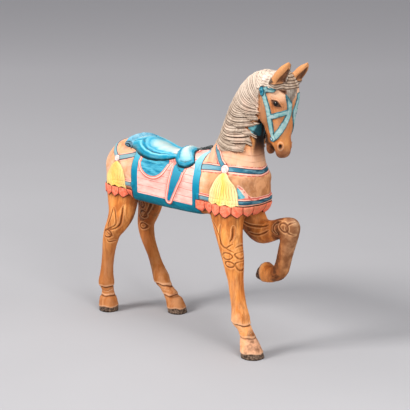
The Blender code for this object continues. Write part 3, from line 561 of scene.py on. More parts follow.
def ripple(p, scale, turn=0.):
    """A smooth uneven wave between -1 and 1 that never repeats within the horse."""
    a, b, c = (p / scale).T
    return (np.sin(a * 1.3 + 1.7 * np.sin(b * .9 + turn) + c * .7) + np.sin(b * 1.9 - 1.3 * np.sin(c * 1.1 + turn) + .4 * a)
            + np.sin(c * 1.5 + 1.1 * np.sin(a * .8 - turn) - .6 * b)) / 3


def grooves(p):
    """For each point, the cut nearest to it: how far it is in half widths, and how deep the cut is."""
    share, depth = np.full(len(p), 9.), np.zeros(len(p))
    turn = np.linspace(0, 2 * np.pi, 25)
    rows = [(finer([(x, 0, z) for x, z in path], 5)[:, ::2], level, half, deep) for path, level, half, deep in CUTS]
    for (cx, cz), a, b, tilt, level, half, deep in LOOPS:
        u, v = a * np.cos(turn), b * np.sin(turn)
        rows.append((np.stack([cx + u * np.cos(tilt) - v * np.sin(tilt), cz + u * np.sin(tilt) + v * np.cos(tilt)], 1),
                     level, half, deep))
    for path, level, half, deep in rows:
        half, deep = half * .74, deep * .85
        low, high = path.min(0) - 4 * half, path.max(0) + 4 * half
        flat = p[:, ::2]
        k = np.flatnonzero(((flat > low) & (flat < high)).all(1) & (np.abs(p[:, 1] - level) < .024))
        if not len(k):
            continue
        gap, run = along(flat[k], path)
        closed = np.linalg.norm(path[0] - path[-1]) < 1e-6
        ends = 1. if closed else np.clip(np.minimum(run, run.max() - run) / .010, .25, 1)
        gap = gap / (half * (.6 + .4 * ends))
        nearer = gap < share[k]
        share[k] = np.where(nearer, gap, share[k])
        depth[k] = np.where(nearer, deep * ends, depth[k])
    return share, depth


def mane_of(p, r):
    """Adds the mane's strands: how far up each is, its place in its lock, and its edge."""
    r["mane_smooth"] = r["mane"]
    phase = r["mane_run"]
    reach = np.minimum(r["mane_fall"] / .12, 1.15) ** 2.4
    for _ in range(12):
        phase = phase + .6 * (r["mane_run"] - wide(phase, SWEEP) * reach - phase)
    phase = phase + .0036 * ripple(p, .044) + .0011 * ripple(p, .015, 2.)
    k = np.clip(np.searchsorted(LOCKS, phase) - 1, 0, len(LOCKS) - 2)
    low, high = np.array(LOCKS)[k], np.array(LOCKS)[k + 1]
    t = np.clip((phase - low) / (high - low), 0, 1)
    r["phase"], r["lock"] = phase, t
    # Every strand has its own tone, and every groove its own strength.
    r["tone"] = (np.sin(np.floor(phase / STRAND) * 78.233) * 437.5453) % 1
    r["groove"] = (np.sin(np.round(phase / STRAND) * 12.9898) * 437.585) % 1
    ragged = np.interp(phase, [-.1, .06, .10, .16, .29, .335, .5], [.010, .014, .026, .036, .036, .006, .002])
    ragged = ragged * (.55 + .45 * np.sin(k * 2.3) ** 2)
    r["mane"] = r["mane"] + ragged * (t ** 1.1) - .40 * ragged


def fine_regions(p, r):
    """The signed gaps of the finer carving and the paint, on the skin before it is carved."""
    r = dict(r)
    x, y, z = p.T
    side = np.abs(y)
    q, flat = np.stack([x, side, z], 1), np.stack([x, z], 1)
    mane_of(p, r)
    head = x + .35 * (z - .95) > .262
    far = np.where(head, -9., 9.)
    # Saddle and the cloth under it.
    seat = saddle_x(x, side)
    hem = np.interp(seat, *np.array(HEM).T) - settled(seat, y)
    trunk = np.where((z > .47) & (z < .76), -9., 9.)
    r["saddle"] = np.maximum.reduce([hem - z, seat - .002, -.404 - x, trunk])
    lean = ease(z, .640, .715) * .020
    r["field"] = np.maximum.reduce([-.309 - x, x + .0105 + lean,
                                    .5275 + .0035 * (x + .30) / .29 - z, r["blanket"]])
    r["border"] = np.maximum(r["blanket"], -r["field"])
    r["flap"] = np.maximum(r["flap"], r["blanket"] + .003)
    r["flap_edge"] = np.maximum(r["flap_edge"], r["blanket"] + .003)
    first, climb = np.array(SADDLE_ROLLS[0]), z - hem
    rise = np.interp(seat, first[:, 0], first[:, 2]) - np.interp(seat, *np.array(HEM).T)
    back = climb / np.maximum(rise, .007)
    fore = np.minimum(climb, (.004 - seat) * .9) / .0125
    left = 1 + (seat + .1115) / .012                    # up the lobe's rear side
    fore = np.where(z > .672, np.minimum(fore, np.maximum(left, .15)), fore)
    r["saddle_band"] = np.where(seat < -.1185, back, fore)
    r["lobe_face"] = ease(seat, -.122, -.108) * (1 - ease(climb, .044, .070))
    r["roll"] = along(p, CANTLE_ROLL)[0] - .0165
    end_x, end_z = np.where(y < 0, -.384, -.397), np.where(y < 0, .697, .688)
    r["roll_turn"] = np.hypot(x - end_x, z - end_z)
    r["roll_end"] = np.maximum(r["roll_turn"] - .0155, np.where(y < 0, .078, .071) - side)
    r["pommel"] = along(p, [(-.090, 0, .709), (-.014, 0, .736)])[0] - .0100
    # Straps: blue bands, pink margins, red lines.
    start, plain = .010 - x, lambda path, half: along(flat, [c[::2] for c in path])[0] - half
    breast, lower = over(q, BREAST_STRAP), over(q, LOWER_STRAP)
    band = lambda gap, half: np.maximum(np.abs(gap) - half, start)
    collar = np.maximum.reduce([plain(COLLAR_STRAP, .0082), .03 - side, z - .757])
    rump = np.maximum.reduce([plain(RUMP_STRAP, .0085), x + .336, .05 - side])
    haunch = np.maximum(along(q, HAUNCH_STRAP)[0] - .0078, x + .336)
    croup = along(q, CROUP_STRAP)[0] - .0085
    diagonal = along(q, DIAGONAL)[0]
    off = r["blanket"] * -1 + .0005
    r["strap_blue"] = np.maximum.reduce([np.minimum.reduce([band(breast, .0085), band(lower, .0070), collar, rump, croup, haunch]), trunk, off])
    r["strap_pink"] = np.maximum.reduce([np.minimum.reduce([band(breast - .0005, .0158), band(lower - .0040, .0140), collar - .0060,
                                         rump - .0045, croup - .0035, haunch - .0050, np.maximum(along(q, HAUNCH_RED)[0] - .006, x + .336),
                                         diagonal - .0075]), trunk, off])
    r["strap_red"] = np.maximum.reduce([np.minimum.reduce([band(breast - .0153, .0016), band(breast + .0160, .0022),
                                        band(lower - .0135, .0022), np.maximum(along(q, HAUNCH_RED)[0] - .0020, x + .336),
                                        np.abs(diagonal - .0040) - .0016, np.abs(collar - .0062) - .0012]),
                                        trunk, off])
    r["strap_edge"] = np.minimum(np.abs(r["strap_blue"]), 9.)
    r["teal"] = np.minimum.reduce([np.maximum(inside(flat, TRIANGLE), .045 - side),
                                   np.maximum(inside(flat, THROAT_LEAF), side - .060)])
    # Tassels, scallops, rosettes.
    r["coral"] = np.minimum(r["trim"], r["rump_trim"])
    r["yellow"] = np.minimum(r["tassel"], r["rump_tassel"])
    r["coral_seam"] = np.where(r["trim"] < r["rump_trim"], r["trim_run"], r["rump_trim_run"])
    front = x > -.1
    r["strands"] = np.where(front, r["tassel_run"], r["rump_tassel_run"])
    r["tassel_low"] = np.where(front, z - .559, z - .535)
    r["rose"] = np.minimum(r["rosette"], r["rump_rosette"])
    r["rose_round"] = np.where(front, (near(q, (.128, .082, .683), 0)) / .0165, near(q, (-.432, .102, .640), 0) / .0125)
    # Bridle, eye, nostril, mouth, ears.
    r["bridle"] = np.minimum.reduce([r["cheek_strap"], r["nose_strap"], r["face_strap"], r["side_strap"], r["brow_strap"]])
    low = np.interp(x, [.27, .300, .335, .360, .385], [.986, .9860, .9900, .9960, .9940])
    ears = np.maximum(.0295 - along(q, EAR_AXIS[1:])[0], .0240 - along(q, [(.336, .045, 1.012), EAR_AXIS[1]])[0])
    r["hair"] = np.maximum.reduce([low - z + .0012 * np.sin(x * 220), far, np.minimum(ears, z - 1.0165 - .10 * (x - .34))])
    half = np.interp(z, [.950, .960, .970, .980, .990, 1.01], [.001, .008, .016, .021, .024, .028])
    r["brow_line"] = z + .25 * (x - .35) + .0035 * np.sin(x * 95 + 1.) + .0015 * np.sin(x * 260)
    r["bow"] = np.maximum(near(q, (.2852, .0469, 1.0282), 0) - .0115, far)
    r["knot"] = near(q * (1, 1, .66), (.2800, .0565, .9830 * .66), 0) - .0118
    r["forelock"] = np.maximum.reduce([np.abs(y + .0115 + .002 * np.sin((z - .93) * 60)) - half, .950 - z, .330 - x])
    u, v = crossed(q - np.array(EYE), EYE_WAY)
    r["eye_u"], r["eye_v"] = u, v
    shape = .0092 * (1 - np.clip(np.abs(u) / .0200, 0, 1) ** 1.6)
    r["eye"] = np.maximum.reduce([np.abs(v - .0010) - shape, np.abs(u) - .0200, far, .030 - side])
    r["iris"] = np.maximum.reduce([np.hypot(u + .0005, v - .001) - .0082, far, .030 - side])
    r["glint"] = np.hypot(u + .0030, v - .0040) - .0020
    r["nostril"] = np.maximum(near(q * (1, 1, .72), (.3435, .0300, .7920 * .72), 0) - .0062, far)
    r["bridle"] = np.maximum.reduce([r["bridle"], np.where(z > .935, -.001 - r["forelock"], -9),
                                     np.where(x > .352, z - .9800, -9)])
    r["nostril_rim"] = np.maximum(near(q, (.345, .028, .790), 0) - .0100, far)
    r["mouth"] = np.maximum.reduce([near(p * (1, .6, 1), (.290, 0, .776), 0) - .024, far])
    r["mouth_line"] = np.maximum(along(q, [(.286, .014, .787), (.300, .028, .776), (.320, .031, .762), (.338, .026, .757)])[0] - .0015, far)
    for name, s, tip in (("near", -1, (.395, -.046, 1.096)), ("far", 1, (.398, .046, 1.084))):
        root = np.array((.326, s * .044, .998))
        face = np.array((.80, .05 + s * .08, -.57)) / np.linalg.norm((.80, .05 + s * .08, .57))
        way = (np.array(tip) - root) / np.linalg.norm(np.array(tip) - root)
        level = (p - root) @ way
        t = np.clip(level / .125, 0, 1)
        across = (p - root) @ np.cross(face, way)
        out = (p - root) @ face
        wide_ = .0215 * np.sin(np.clip(t * 1.10 + .12, 0, 1) * np.pi) ** .7
        gap = np.maximum.reduce([np.abs(across) - wide_, -out - .001, .006 - level, level - .112,
                                 -s * y])
        r["ear"] = gap if name == "near" else np.minimum(r["ear"], gap)
    r["ear"] = np.maximum(r["ear"], -.0005 - r["hair"])
    # Hooves.
    feet = z < .09
    wave = .0026 * np.sin(x * 95 + y * 60) + .0014 * ripple(p, .006)
    r["rim"] = np.where(feet, z - .0215 - wave, 9.)
    sole = (x > .17) & (x < .235) & (z > .23) & (z < .34) & (y > .01)
    r["rim"] = np.where(sole, x + .12 * (z - .285) - .2030 - wave, r["rim"])
    r["flesh"] = np.clip(ease(z, .515, .560) * ease(-z, -.80, -.72) * (1 - ease(x, .205, .26) * (1 - ease(z, .688, .698))), 0, 1)
    # Painted shade cast by the head, with a dark stain, down the front of the neck.
    edge = side + .0030 * np.sin(z * 90) + .0020 * ripple(p, .012)
    r["throat"] = ((1 - ease(edge, .022, .034)) * ease(x - .18 * (z - .72), .150, .185) * ease(z, .700, .775)
                   * (1 - ease(z, .93, .97)) * np.where(head, 0, 1))
    # Painted shade on the inner faces of the legs, and under the body where they meet it.
    inner = 1 - ease(side, .058, .100)
    r["leg_shade"] = np.where((z < .56) & (z > .20), ease(z, .27, .36) * inner * (1 - .92 * ease(x, .150, .215)), 0)
    r["leg_shade"] = np.maximum(r["leg_shade"], np.where((z < .53) & ((x < .28) | (y < 0)), .55 * ease(z, .465, .505), 0))
    share, depth = grooves(p)
    r["cut"], r["cut_depth"] = share, depth
    ledge, wide_ledge = np.full(len(p), 9.), np.zeros(len(p))
    for cx, cy, cz, reach, deep, tilt in BANDS:
        gap = z - cz - .35 * tilt * (cx - x) + .0012 * np.sin(x * 150 + y * 90)
        here = (np.hypot(x - cx, y - cy) < reach) & (np.abs(gap) < .020)
        ledge, wide_ledge = np.where(here, gap, ledge), np.where(here, deep, wide_ledge)
    r["ledge"], r["ledge_depth"] = ledge, wide_ledge
    return r


def fine_relief(p, base, r):
    """How far the skin moves out along its normal, all carving together."""
    x, y, z = p.T
    h = relief(p, base)
    # Mane: each lock laps over the one below it.
    fall = r["mane_fall"]
    lap = (.0014 + .0060 * ease(fall, .010, .070)) * (1 - r["lock"]) ** .9
    strand = np.abs((r["phase"] / STRAND) % 1 * 2 - 1)
    thin = np.abs((r["phase"] / STRAND * 3) % 1 * 2 - 1)
    mane = lap + (.0026 * (.35 + .85 * r["groove"]) * (1 - strand ** 3.) + .0006 * (1 - thin ** 2)) * ease(-r["phase"], -.47, -.44) + .0012
    h = h + np.clip(.5 - r["mane"] / .004, 0, 1) * mane
    # Hair over the brow and the forelock.
    lines = np.abs((r["brow_line"] / .0084) % 1 * 2 - 1)
    h = h + np.clip(.5 - r["hair"] / .003, 0, 1) * (.0022 + .0020 * (1 - lines ** 2))
    lines = np.abs((y / .0060) % 1 * 2 - 1)
    h = h + np.where(r["hair"] < 0, 0, 1) * np.clip(.5 - r["forelock"] / .003, 0, 1) * (.0030 + .0014 * (1 - lines ** 2))
    # Tassels: strands that fan out from the rosette.
    spread = np.clip(r["tassel_low"] / .10, 0, 1)
    wave = r["strands"] * 5.5 + .55 * np.sin(z * 70 + x * 20) * (1 - spread)
    tress = np.abs(wave % 1 * 2 - 1)
    fine = np.abs((wave * 3 + .3 * ripple(p, .02)) % 1 * 2 - 1)
    on = np.clip(.5 - r["yellow"] / .003, 0, 1)
    h = h + on * (.0022 * (1 - tress ** 2.4) + .0006 * (1 - fine ** 2) - .0012)
    # Scallops: leaves with a seam between them.
    leaf = r["coral_seam"]
    h = h + np.clip(.5 - r["coral"] / .003, 0, 1) * (.0020 * (1 - leaf ** 6) - .0010)
    # Rosettes.
    ring = r["rose_round"]
    h = h + np.where(r["rose"] < .001, .0016 * np.cos(ring * 2 * np.pi * 1.5) + .0015 * (1 - ring), 0)
    # Straps, bridle: a groove along either edge.
    for gap, deep, reach in ((r["strap_blue"], .0012, .0016), (r["bridle"], .0014, .0016), (r["flap"], .0010, .0016),
                             (r["leather"], .0012, .0016)):
        h = h - deep * np.clip(1 - np.abs(gap) / reach, 0, 1)
    h = h - .0012 * np.clip(1 - np.abs(r["leather"] - .0060) / .0016, 0, 1) * (r["blanket"] < 0) * (r["saddle"] > 0)
    h = h + .0006 * np.clip(.5 - r["bridle"] / .002, 0, 1)
    # Saddle: rolls and the grooves between them.
    on = np.clip(.5 - r["saddle"] / .002, 0, 1)
    u = r["saddle_band"]
    h = h + on * np.interp(u, [0, .10, .35, .70, .80, .97, 1.13, 1.22, 1.34, 1.48, 1.60, 2.1], [0, .0012, .0024, .0016, .0002, .0022, .0010, -.0014, .0012, .0010, -.0012, 0])
    h = h - .0024 * np.clip(1 - np.abs(r["saddle"] - .0015) / .0022, 0, 1) * ((x < 0) & (x > -.40) & (z > .6) & (z < .73))
    # Roll end: a spiral.
    turn = np.arctan2(z - np.where(y < 0, .697, .688), x + np.where(y < 0, .384, .397)) / (2 * np.pi)
    coil = np.abs((r["roll_turn"] / .0075 - turn) % 1 * 2 - 1)
    h = h - np.where(r["roll_end"] < 0, .0026 * ease(coil, .55, 1.), 0)
    # Head: eye, lids, nostril, mouth, ears, cheek.
    h = h + np.clip(.5 - r["eye"] / .002, 0, 1) * (-.0030 + .0046 * np.sqrt(np.clip(1 - (r["eye_u"] / .0185) ** 2 - (r["eye_v"] / .0105) ** 2, 0, 1)))
    h = h + .0026 * np.clip(1 - np.abs(r["eye"] - .0026) / .0028, 0, 1) * np.where(r["eye"] < 1, 1, 0)
    h = h + .0030 * np.clip(.5 - r["bow"] / .004, 0, 1) + .0030 * np.clip(.5 - r["knot"] / .004, 0, 1)
    h = h - .0016 * np.clip(1 - np.abs(r["eye"] - .0075) / .0030, 0, 1) * (r["eye_v"] > 0)
    h = h - .0060 * np.clip(1 - (r["nostril"] + .0052) / .0060, 0, 1) + .0022 * np.clip(1 - np.abs(r["nostril_rim"] + .0012) / .0030, 0, 1)
    h = h - .0022 * np.clip(1 - (r["mouth_line"] + .0015) / .0035, 0, 1)
    h = h - .0090 * ease(-r["ear"], -.0005, .0095)
    # Legs: cut ornament, fetlock and coronet ledges, the proud edge above the dark rim.
    cut, deep = r["cut"], r["cut_depth"]
    h = h - deep * np.clip(1 - (cut / 1.15) ** 2, 0, 1) + .42 * deep * np.clip(1 - np.abs(cut - 1.9) / .9, 0, 1)
    gap, deep = r["ledge"], r["ledge_depth"]
    h = h + np.where(gap > 0, .45 * deep * np.clip(1 - gap / .014, 0, 1), -.75 * deep * np.clip(1 + gap / .008, 0, 1))
    h = h + .0014 * np.clip(1 - np.abs(r["rim"] - .0010) / .0024, 0, 1) - .0012 * ease(-r["rim"], .001, .005)
    # Tool marks over the bare wood.
    bare = np.clip(.5 + np.minimum.reduce([r["blanket"], r["coral"], r["mane"], r["bridle"], r["saddle"], r["hair"]]) / .004, 0, 1)
    h = h + bare * (.00055 * ripple(p * (1, 1, .45), .012) + .00030 * ripple(p, .0048, 1.))
    h = h + (1 - bare) * .00022 * ripple(p, .0060, 4.)
    return h


# ---- the fine mesh -----------------------------------------------------------------
def sides_of(quads, count):
    """Each quad side's edge number, and the edges as pairs of points."""
    ends = np.sort(np.stack([quads, np.roll(quads, -1, 1)], 2).reshape(-1, 2), 1)
    key, index = np.unique(ends[:, 0] * count + ends[:, 1], return_inverse=True)
    return index.reshape(-1, 4), np.stack([key // count, key % count], 1)


def quartered(quads, sides, first_edge, first_face):
    """Each quad as four, round the new point in its middle."""
    middle = first_face + np.arange(len(quads))
    e = first_edge[sides]
    return np.concatenate([np.stack([quads[:, i], e[:, i], middle, e[:, i - 1]], 1) for i in range(4)])


def rounded(points, quads):
    """One smooth subdivision of a closed skin of quads."""
    n = len(points)
    sides, edges = sides_of(quads, n)
    centre = points[quads].mean(1)
    tally = lambda index, values, size: np.stack([np.bincount(index, values[:, i], size) for i in range(3)], 1)
    per_edge = np.bincount(sides.ravel(), minlength=len(edges))
    around = tally(sides.ravel(), np.repeat(centre, 4, 0), len(edges)) / per_edge[:, None]
    edge_points = (points[edges].sum(1) + 2 * around) / 4
    valence = np.bincount(edges.ravel(), minlength=n)[:, None]
    faces_at = np.bincount(quads.ravel(), minlength=n)[:, None]
    f = tally(quads.ravel(), np.repeat(centre, 4, 0), n) / faces_at
    m = tally(edges.T.ravel(), np.tile(points[edges].mean(1), (2, 1)), n) / valence
    moved = (f + 2 * m + (valence - 3) * points) / valence
    return (np.concatenate([moved, edge_points, centre]),
            quartered(quads, sides, n + np.arange(len(edges)), n + len(edges)))


def refined(points, quads, chosen):
    """The chosen quads split in four. Quads beside them become fans. Returns points, quads, triangles."""
    n = len(points)
    sides, edges = sides_of(quads, n)
    cut = np.zeros(len(edges), bool)
    cut[sides[chosen].ravel()] = True
    name = np.full(len(edges), -1)
    name[cut] = n + np.arange(cut.sum())
    fine = quartered(quads[chosen], sides[chosen], name, n + cut.sum())
    beside_cut = ~chosen & cut[sides].any(1)
    hub = n + cut.sum() + chosen.sum() + np.arange(beside_cut.sum())
    fans = []
    for i in range(4):
        a, b, e = quads[beside_cut, i], quads[beside_cut, (i + 1) % 4], name[sides[beside_cut, i]]
        k = e >= 0
        fans += [np.stack([hub[k], a[k], e[k]], 1), np.stack([hub[k], e[k], b[k]], 1), np.stack([hub[~k], a[~k], b[~k]], 1)]
    points = np.concatenate([points, points[edges[cut]].mean(1), points[quads[chosen]].mean(1),
                             points[quads[beside_cut]].mean(1)])
    return points, np.concatenate([fine, quads[~chosen & ~beside_cut]]), np.concatenate(fans)


def as_triangles(quads, fans):
    return np.concatenate([quads[:, [0, 1, 2]], quads[:, [0, 2, 3]], fans])


def normals_at(points, tris):
    a, b, c = points[tris].transpose(1, 0, 2)
    flat = np.cross(b - a, c - a)
    out = np.stack([np.bincount(tris.ravel(), np.repeat(flat[:, i], 3), len(points)) for i in range(3)], 1)
    return out / np.maximum(np.linalg.norm(out, axis=1), 1e-12)[:, None]


def mesh_of(name, points, faces):
    """A mesh from arrays of points and of faces that all have the same number of corners."""
    mesh = bpy.data.meshes.new(name)
    mesh.vertices.add(len(points))
    mesh.vertices.foreach_set("co", points.ravel())
    mesh.loops.add(faces.size)
    mesh.loops.foreach_set("vertex_index", faces.ravel().astype(np.int32))
    mesh.polygons.add(len(faces))
    mesh.polygons.foreach_set("loop_start", np.arange(0, faces.size, faces.shape[1], dtype=np.int32))
    mesh.update(calc_edges=True)
    return mesh


points, quads, _ = smooth_form(VOXEL)
points, quads = rounded(points, quads)
x, y, z = points[quads].mean(1).T
carved = np.maximum.reduce([                       # where the cuts are finest
    (x + .35 * (z - .95) > .24) & (z > .73),                                       # head
    (z > .735) & (x < .26) & (x > -.02),                                           # neck and mane
    (np.abs(y) > .04) & (z > .53) & (z < .70) & (np.abs(x - .13) < .068),          # tassels
    (np.abs(y) > .04) & (z > .53) & (z < .65) & (np.abs(x + .437) < .062),
    (np.abs(y) > .070) & (z > .675) & (z < .72) & (np.abs(x + .384) < .02)])       # roll ends
points, quads, fans = refined(points, quads, carved)
tris = as_triangles(quads, fans)
edges = np.unique(np.sort(np.concatenate([tris[:, :2], tris[:, 1:], tris[:, ::2]]), 1), axis=0)
share = np.zeros(len(points))
share[np.unique(fans)] = .4
head = (points[:, 0] + .35 * (points[:, 2] - .95) > .24) & (points[:, 2] > .73)
points = softened(points, edges, np.maximum(share, np.where(head, .15, .35) * (points[:, 2] > .5)), 2)

base = regions(points)
gaps = fine_regions(points, base)
rise = fine_relief(points, base, gaps)
out = normals_at(points, tris)
carved_points = points + out * rise[:, None]
# The cut edges are eased a little, as sanding and paint do.
carved_points = softened(carved_points, edges, np.full(len(points), .22), 1)

# Hollows and proud edges, for the dark wash and the wear: the height over its own surroundings.
smooth = rise.copy()
a, b = np.concatenate([edges, edges[:, ::-1]]).T
count = np.bincount(a, minlength=len(rise))
levels = []
for rounds in (6, 24):
    for _ in range(rounds):
        smooth = np.bincount(a, smooth[b], len(smooth)) / count
    levels.append(rise - smooth)
hollow = -(levels[0] * .55 + levels[1] * .45)

dense = mesh_of("dense", carved_points, tris)
horse = bpy.data.objects.new("horse_carving", dense)
bpy.context.scene.collection.objects.link(horse)
fewer = horse.modifiers.new("fewer faces", "DECIMATE")
fewer.ratio = FACES / len(tris)
bpy.context.view_layer.update()
made = horse.evaluated_get(bpy.context.evaluated_depsgraph_get()).to_mesh()
bm = bmesh.new()
bm.from_mesh(made)
horse.modifiers.remove(fewer)
cut = bmesh.ops.bisect_plane(bm, geom=bm.verts[:] + bm.edges[:] + bm.faces[:], plane_co=(0, 0, .0002),
                             plane_no=(0, 0, -1), clear_outer=True)["geom_cut"]
bmesh.ops.contextual_create(bm, geom=[e for e in cut if isinstance(e, bmesh.types.BMEdge)])
for v in bm.verts:
    if v.co.z < .0003:
        v.co.z = 0
bmesh.ops.dissolve_degenerate(bm, dist=2e-5, edges=bm.edges[:])
bmesh.ops.triangulate(bm, faces=bm.faces[:])
bmesh.ops.recalc_face_normals(bm, faces=bm.faces[:])
mesh = bpy.data.meshes.new("horse_carving")
bm.to_mesh(mesh)
bm.free()
horse.data = mesh
bpy.data.meshes.remove(dense)

# Each point of the finished mesh takes its place on the uncarved skin from the nearest dense point.
tree = kdtree.KDTree(len(carved_points))
for i, p in enumerate(carved_points.tolist()):
    tree.insert(p, i)
tree.balance()
here = np.empty(len(mesh.vertices) * 3)
mesh.vertices.foreach_get("co", here)
here = here.reshape(-1, 3)
nearest = np.array([tree.find(p)[1] for p in here.tolist()])
under = here - (carved_points - points)[nearest]
paint = fine_regions(under, regions(under))
paint["hollow"] = hollow[nearest]

here[:, 0] += SHIFT_X
mesh.vertices.foreach_set("co", here.ravel())
mesh.update()
for face in mesh.polygons:
    face.use_smooth = True


def store(name, values):
    layer = mesh.attributes.new(name, "FLOAT", "POINT")
    layer.data.foreach_set("value", np.ascontiguousarray(values, np.float32))


for name in ("mane", "mane_fall", "phase", "lock", "tone", "groove", "hair", "brow_line", "forelock", "blanket", "field", "flap", "flap_edge", "leather", "leather_edge",
             "strap_blue", "strap_pink", "strap_red", "teal", "coral", "coral_seam", "yellow", "strands", "rose",
             "rose_round", "saddle", "saddle_band", "lobe_face", "roll", "roll_end", "roll_turn", "pommel",
             "bridle", "knot", "bow", "ring", "eye", "iris", "glint", "nostril", "mouth", "mouth_line", "ear", "rim", "flesh", "throat",
             "leg_shade", "cut", "ledge", "hollow"):
    store(name, paint[name])


# ---- paint ---------------------------------------------------------------------------
KEY, TOP, FRONT, AMBIENT = 640, 50, 110, .38


class Paint:
    """Short names for the nodes of one material."""

    def __init__(self, name):
        self.material = bpy.data.materials.new(name)
        self.material.use_nodes = True
        self.tree = self.material.node_tree
        self.tree.nodes.clear()
        self.kept = {}
        self.place = self.node("TexCoord").outputs["Object"]
        self.height = self.axis(2)

    def node(self, kind, **values):
        made = self.tree.nodes.new("ShaderNode" + kind)
        for name, value in values.items():
            setattr(made, name, value)
        return made

    def put(self, socket, value):
        if isinstance(value, bpy.types.NodeSocket):
            self.tree.links.new(value, socket)
        elif isinstance(value, tuple) and socket.type == "RGBA":
            socket.default_value = (*value, 1)
        else:
            socket.default_value = value

    def axis(self, i):
        if "axes" not in self.kept:
            split = self.node("SeparateXYZ")
            self.put(split.inputs[0], self.place)
            self.kept["axes"] = split.outputs
        return self.kept["axes"][i]

    def calc(self, how, *values, clamp=False):
        made = self.node("Math", operation=how, use_clamp=clamp)
        for socket, value in zip(made.inputs, values):
            self.put(socket, value)
        return made.outputs[0]

    def field(self, name):
        if name not in self.kept:
            self.kept[name] = self.node("Attribute", attribute_name=name).outputs["Fac"]
        return self.kept[name]

    def noise(self, scale, detail=3., rough=.55, stretch=(1, 1, 1), warp=0.):
        key = ("noise", scale, detail, stretch, warp)
        if key not in self.kept:
            mapping = self.node("Mapping")
            self.put(mapping.inputs["Vector"], self.place)
            mapping.inputs["Scale"].default_value = stretch
            made = self.node("TexNoise")
            self.put(made.inputs["Vector"], mapping.outputs[0])
            made.inputs["Scale"].default_value = scale
            made.inputs["Detail"].default_value = detail
            made.inputs["Roughness"].default_value = rough
            made.inputs["Distortion"].default_value = warp
            self.kept[key] = made.outputs["Fac"]
        return self.kept[key]

    def fit(self, value, low, high, to_low=0., to_high=1.):
        made = self.node("MapRange", clamp=True)
        for socket, v in zip(made.inputs, (value, low, high, to_low, to_high)):
            self.put(socket, v)
        return made.outputs[0]

    def mix(self, share, a, b, how="MIX"):
        made = self.node("Mix", data_type="RGBA", blend_type=how)
        self.put(made.inputs[0], share)
        self.put(made.inputs[6], a)
        self.put(made.inputs[7], b)
        return made.outputs[2]

    def ramp(self, value, stops):
        made = self.node("ValToRGB")
        self.put(made.inputs[0], value)
        band = made.color_ramp
        while len(band.elements) < len(stops):
            band.elements.new(.5)
        for e, (at, colour) in zip(band.elements, stops):
            e.position, e.color = at, (*colour, 1)
        return made.outputs[0]

    def within(self, gap, soft=.0010, uneven=.0006):
        """1 inside a painted piece, 0 outside, with the slightly uneven edge of brushwork."""
        if isinstance(gap, str):
            gap = self.field(gap)
        wobble = self.calc("MULTIPLY_ADD", self.noise(170, 2.), uneven * 2, -uneven)
        return self.calc("MULTIPLY_ADD", self.calc("ADD", gap, wobble), -1 / soft, .5, clamp=True)

    def line(self, gap, half, soft=.0008):
        """1 on the line where the gap is 0."""
        if isinstance(gap, str):
            gap = self.field(gap)
        return self.calc("MULTIPLY_ADD", self.calc("SUBTRACT", self.calc("ABSOLUTE", gap), half), -1 / soft, .5, clamp=True)

    def times(self, *values):
        out = values[0]
        for v in values[1:]:
            out = self.calc("MULTIPLY", out, v)
        return out

    def ridge(self, value, pitch):
        """0 in the middle of each strand, 1 in the groove between two."""
        turn = self.calc("FRACT", self.calc("DIVIDE", value, pitch))
        return self.calc("ABSOLUTE", self.calc("MULTIPLY_ADD", turn, 2., -1.))


p = Paint("painted_carving")
grain = p.noise(26, 5., .6, (1, 1, .16), .6)
streak = p.noise(75, 3., .6, (1, 1, .10), .3)
blotch = p.noise(9, 4., .55, (1, 1, .6), .4)
brush = p.noise(60, 3., .6, (.35, 1, 1), .5)
speck = p.noise(320, 2., .6)
hollow = p.field("hollow")
up = p.height

# Bare stained wood: light orange tan, darker along the grain and where the stain gathered.
wood = p.ramp(grain, [(.32, (.36, .096, .018)), (.44, (.62, .192, .038)), (.56, (.80, .295, .070)), (.70, (.90, .410, .130))])
wood = p.mix(p.fit(blotch, .44, .64, 0., .50), wood, (.90, .400, .140))
wood = p.mix(p.fit(streak, .50, .66, 0., .62), wood, (.27, .066, .012))
wood = p.mix(p.fit(p.noise(14, 5., .6, (1, 1, .5), 1.2), .54, .68, 0., .66), wood, (.36, .092, .018))
face = p.times(p.fit(p.axis(0), .375, .415), p.fit(up, .79, .86), p.fit(p.noise(22, 4., .6, (1, 1, .6), .6), .36, .60, .15, .80))
wood = p.mix(face, wood, (.70, .365, .190))
wood = p.mix(p.times(p.fit(p.axis(0), .385, .415), p.fit(up, .72, .75), p.fit(up, 1.02, 1.0)), wood, p.mix(1., wood, (.74, .68, .66), "MULTIPLY"))
wood = p.mix(p.times(p.fit(p.axis(0), .385, .415), p.fit(up, .945, .975), p.fit(up, 1.02, 1.0), .80), wood, (.76, .47, .31))
wood = p.mix(p.times(p.fit(p.axis(0), .385, .405), p.fit(up, 1.005, 1.03), .78), wood, (.52, .235, .095))
# The jowl behind the cheek strap is browner with painted shade, the hind legs darker toward the hoof.
jowl = p.times(p.fit(p.axis(0), .412, .392), p.fit(p.axis(0), .332, .346), p.fit(up, .83, .86), p.fit(up, .99, .97))
wood = p.mix(p.times(jowl, .62), wood, p.mix(p.fit(blotch, .36, .60), (.22, .105, .050), (.62, .36, .22)))
wood = p.mix(p.times(p.fit(p.axis(0), -.02, -.10), p.fit(up, .42, .24), .70), wood, (.33, .105, .026))
# The raised leg is painted paler along the shank and over the knee: painted light, with a painted highlight on the
# knee.
raised_leg_light = p.times(p.fit(p.axis(1), .0, .03), p.fit(p.axis(0), .385, .44), p.fit(up, .575, .56), p.fit(up, .29, .32))
wood = p.mix(p.times(raised_leg_light, p.fit(p.noise(24, 4., .6, (1, 1, .6), .4), .34, .60, .55, .92)), wood, (1., .62, .34))
wood = p.mix(p.times(raised_leg_light, p.fit(up, .49, .545), .75), wood, (1., .82, .70))
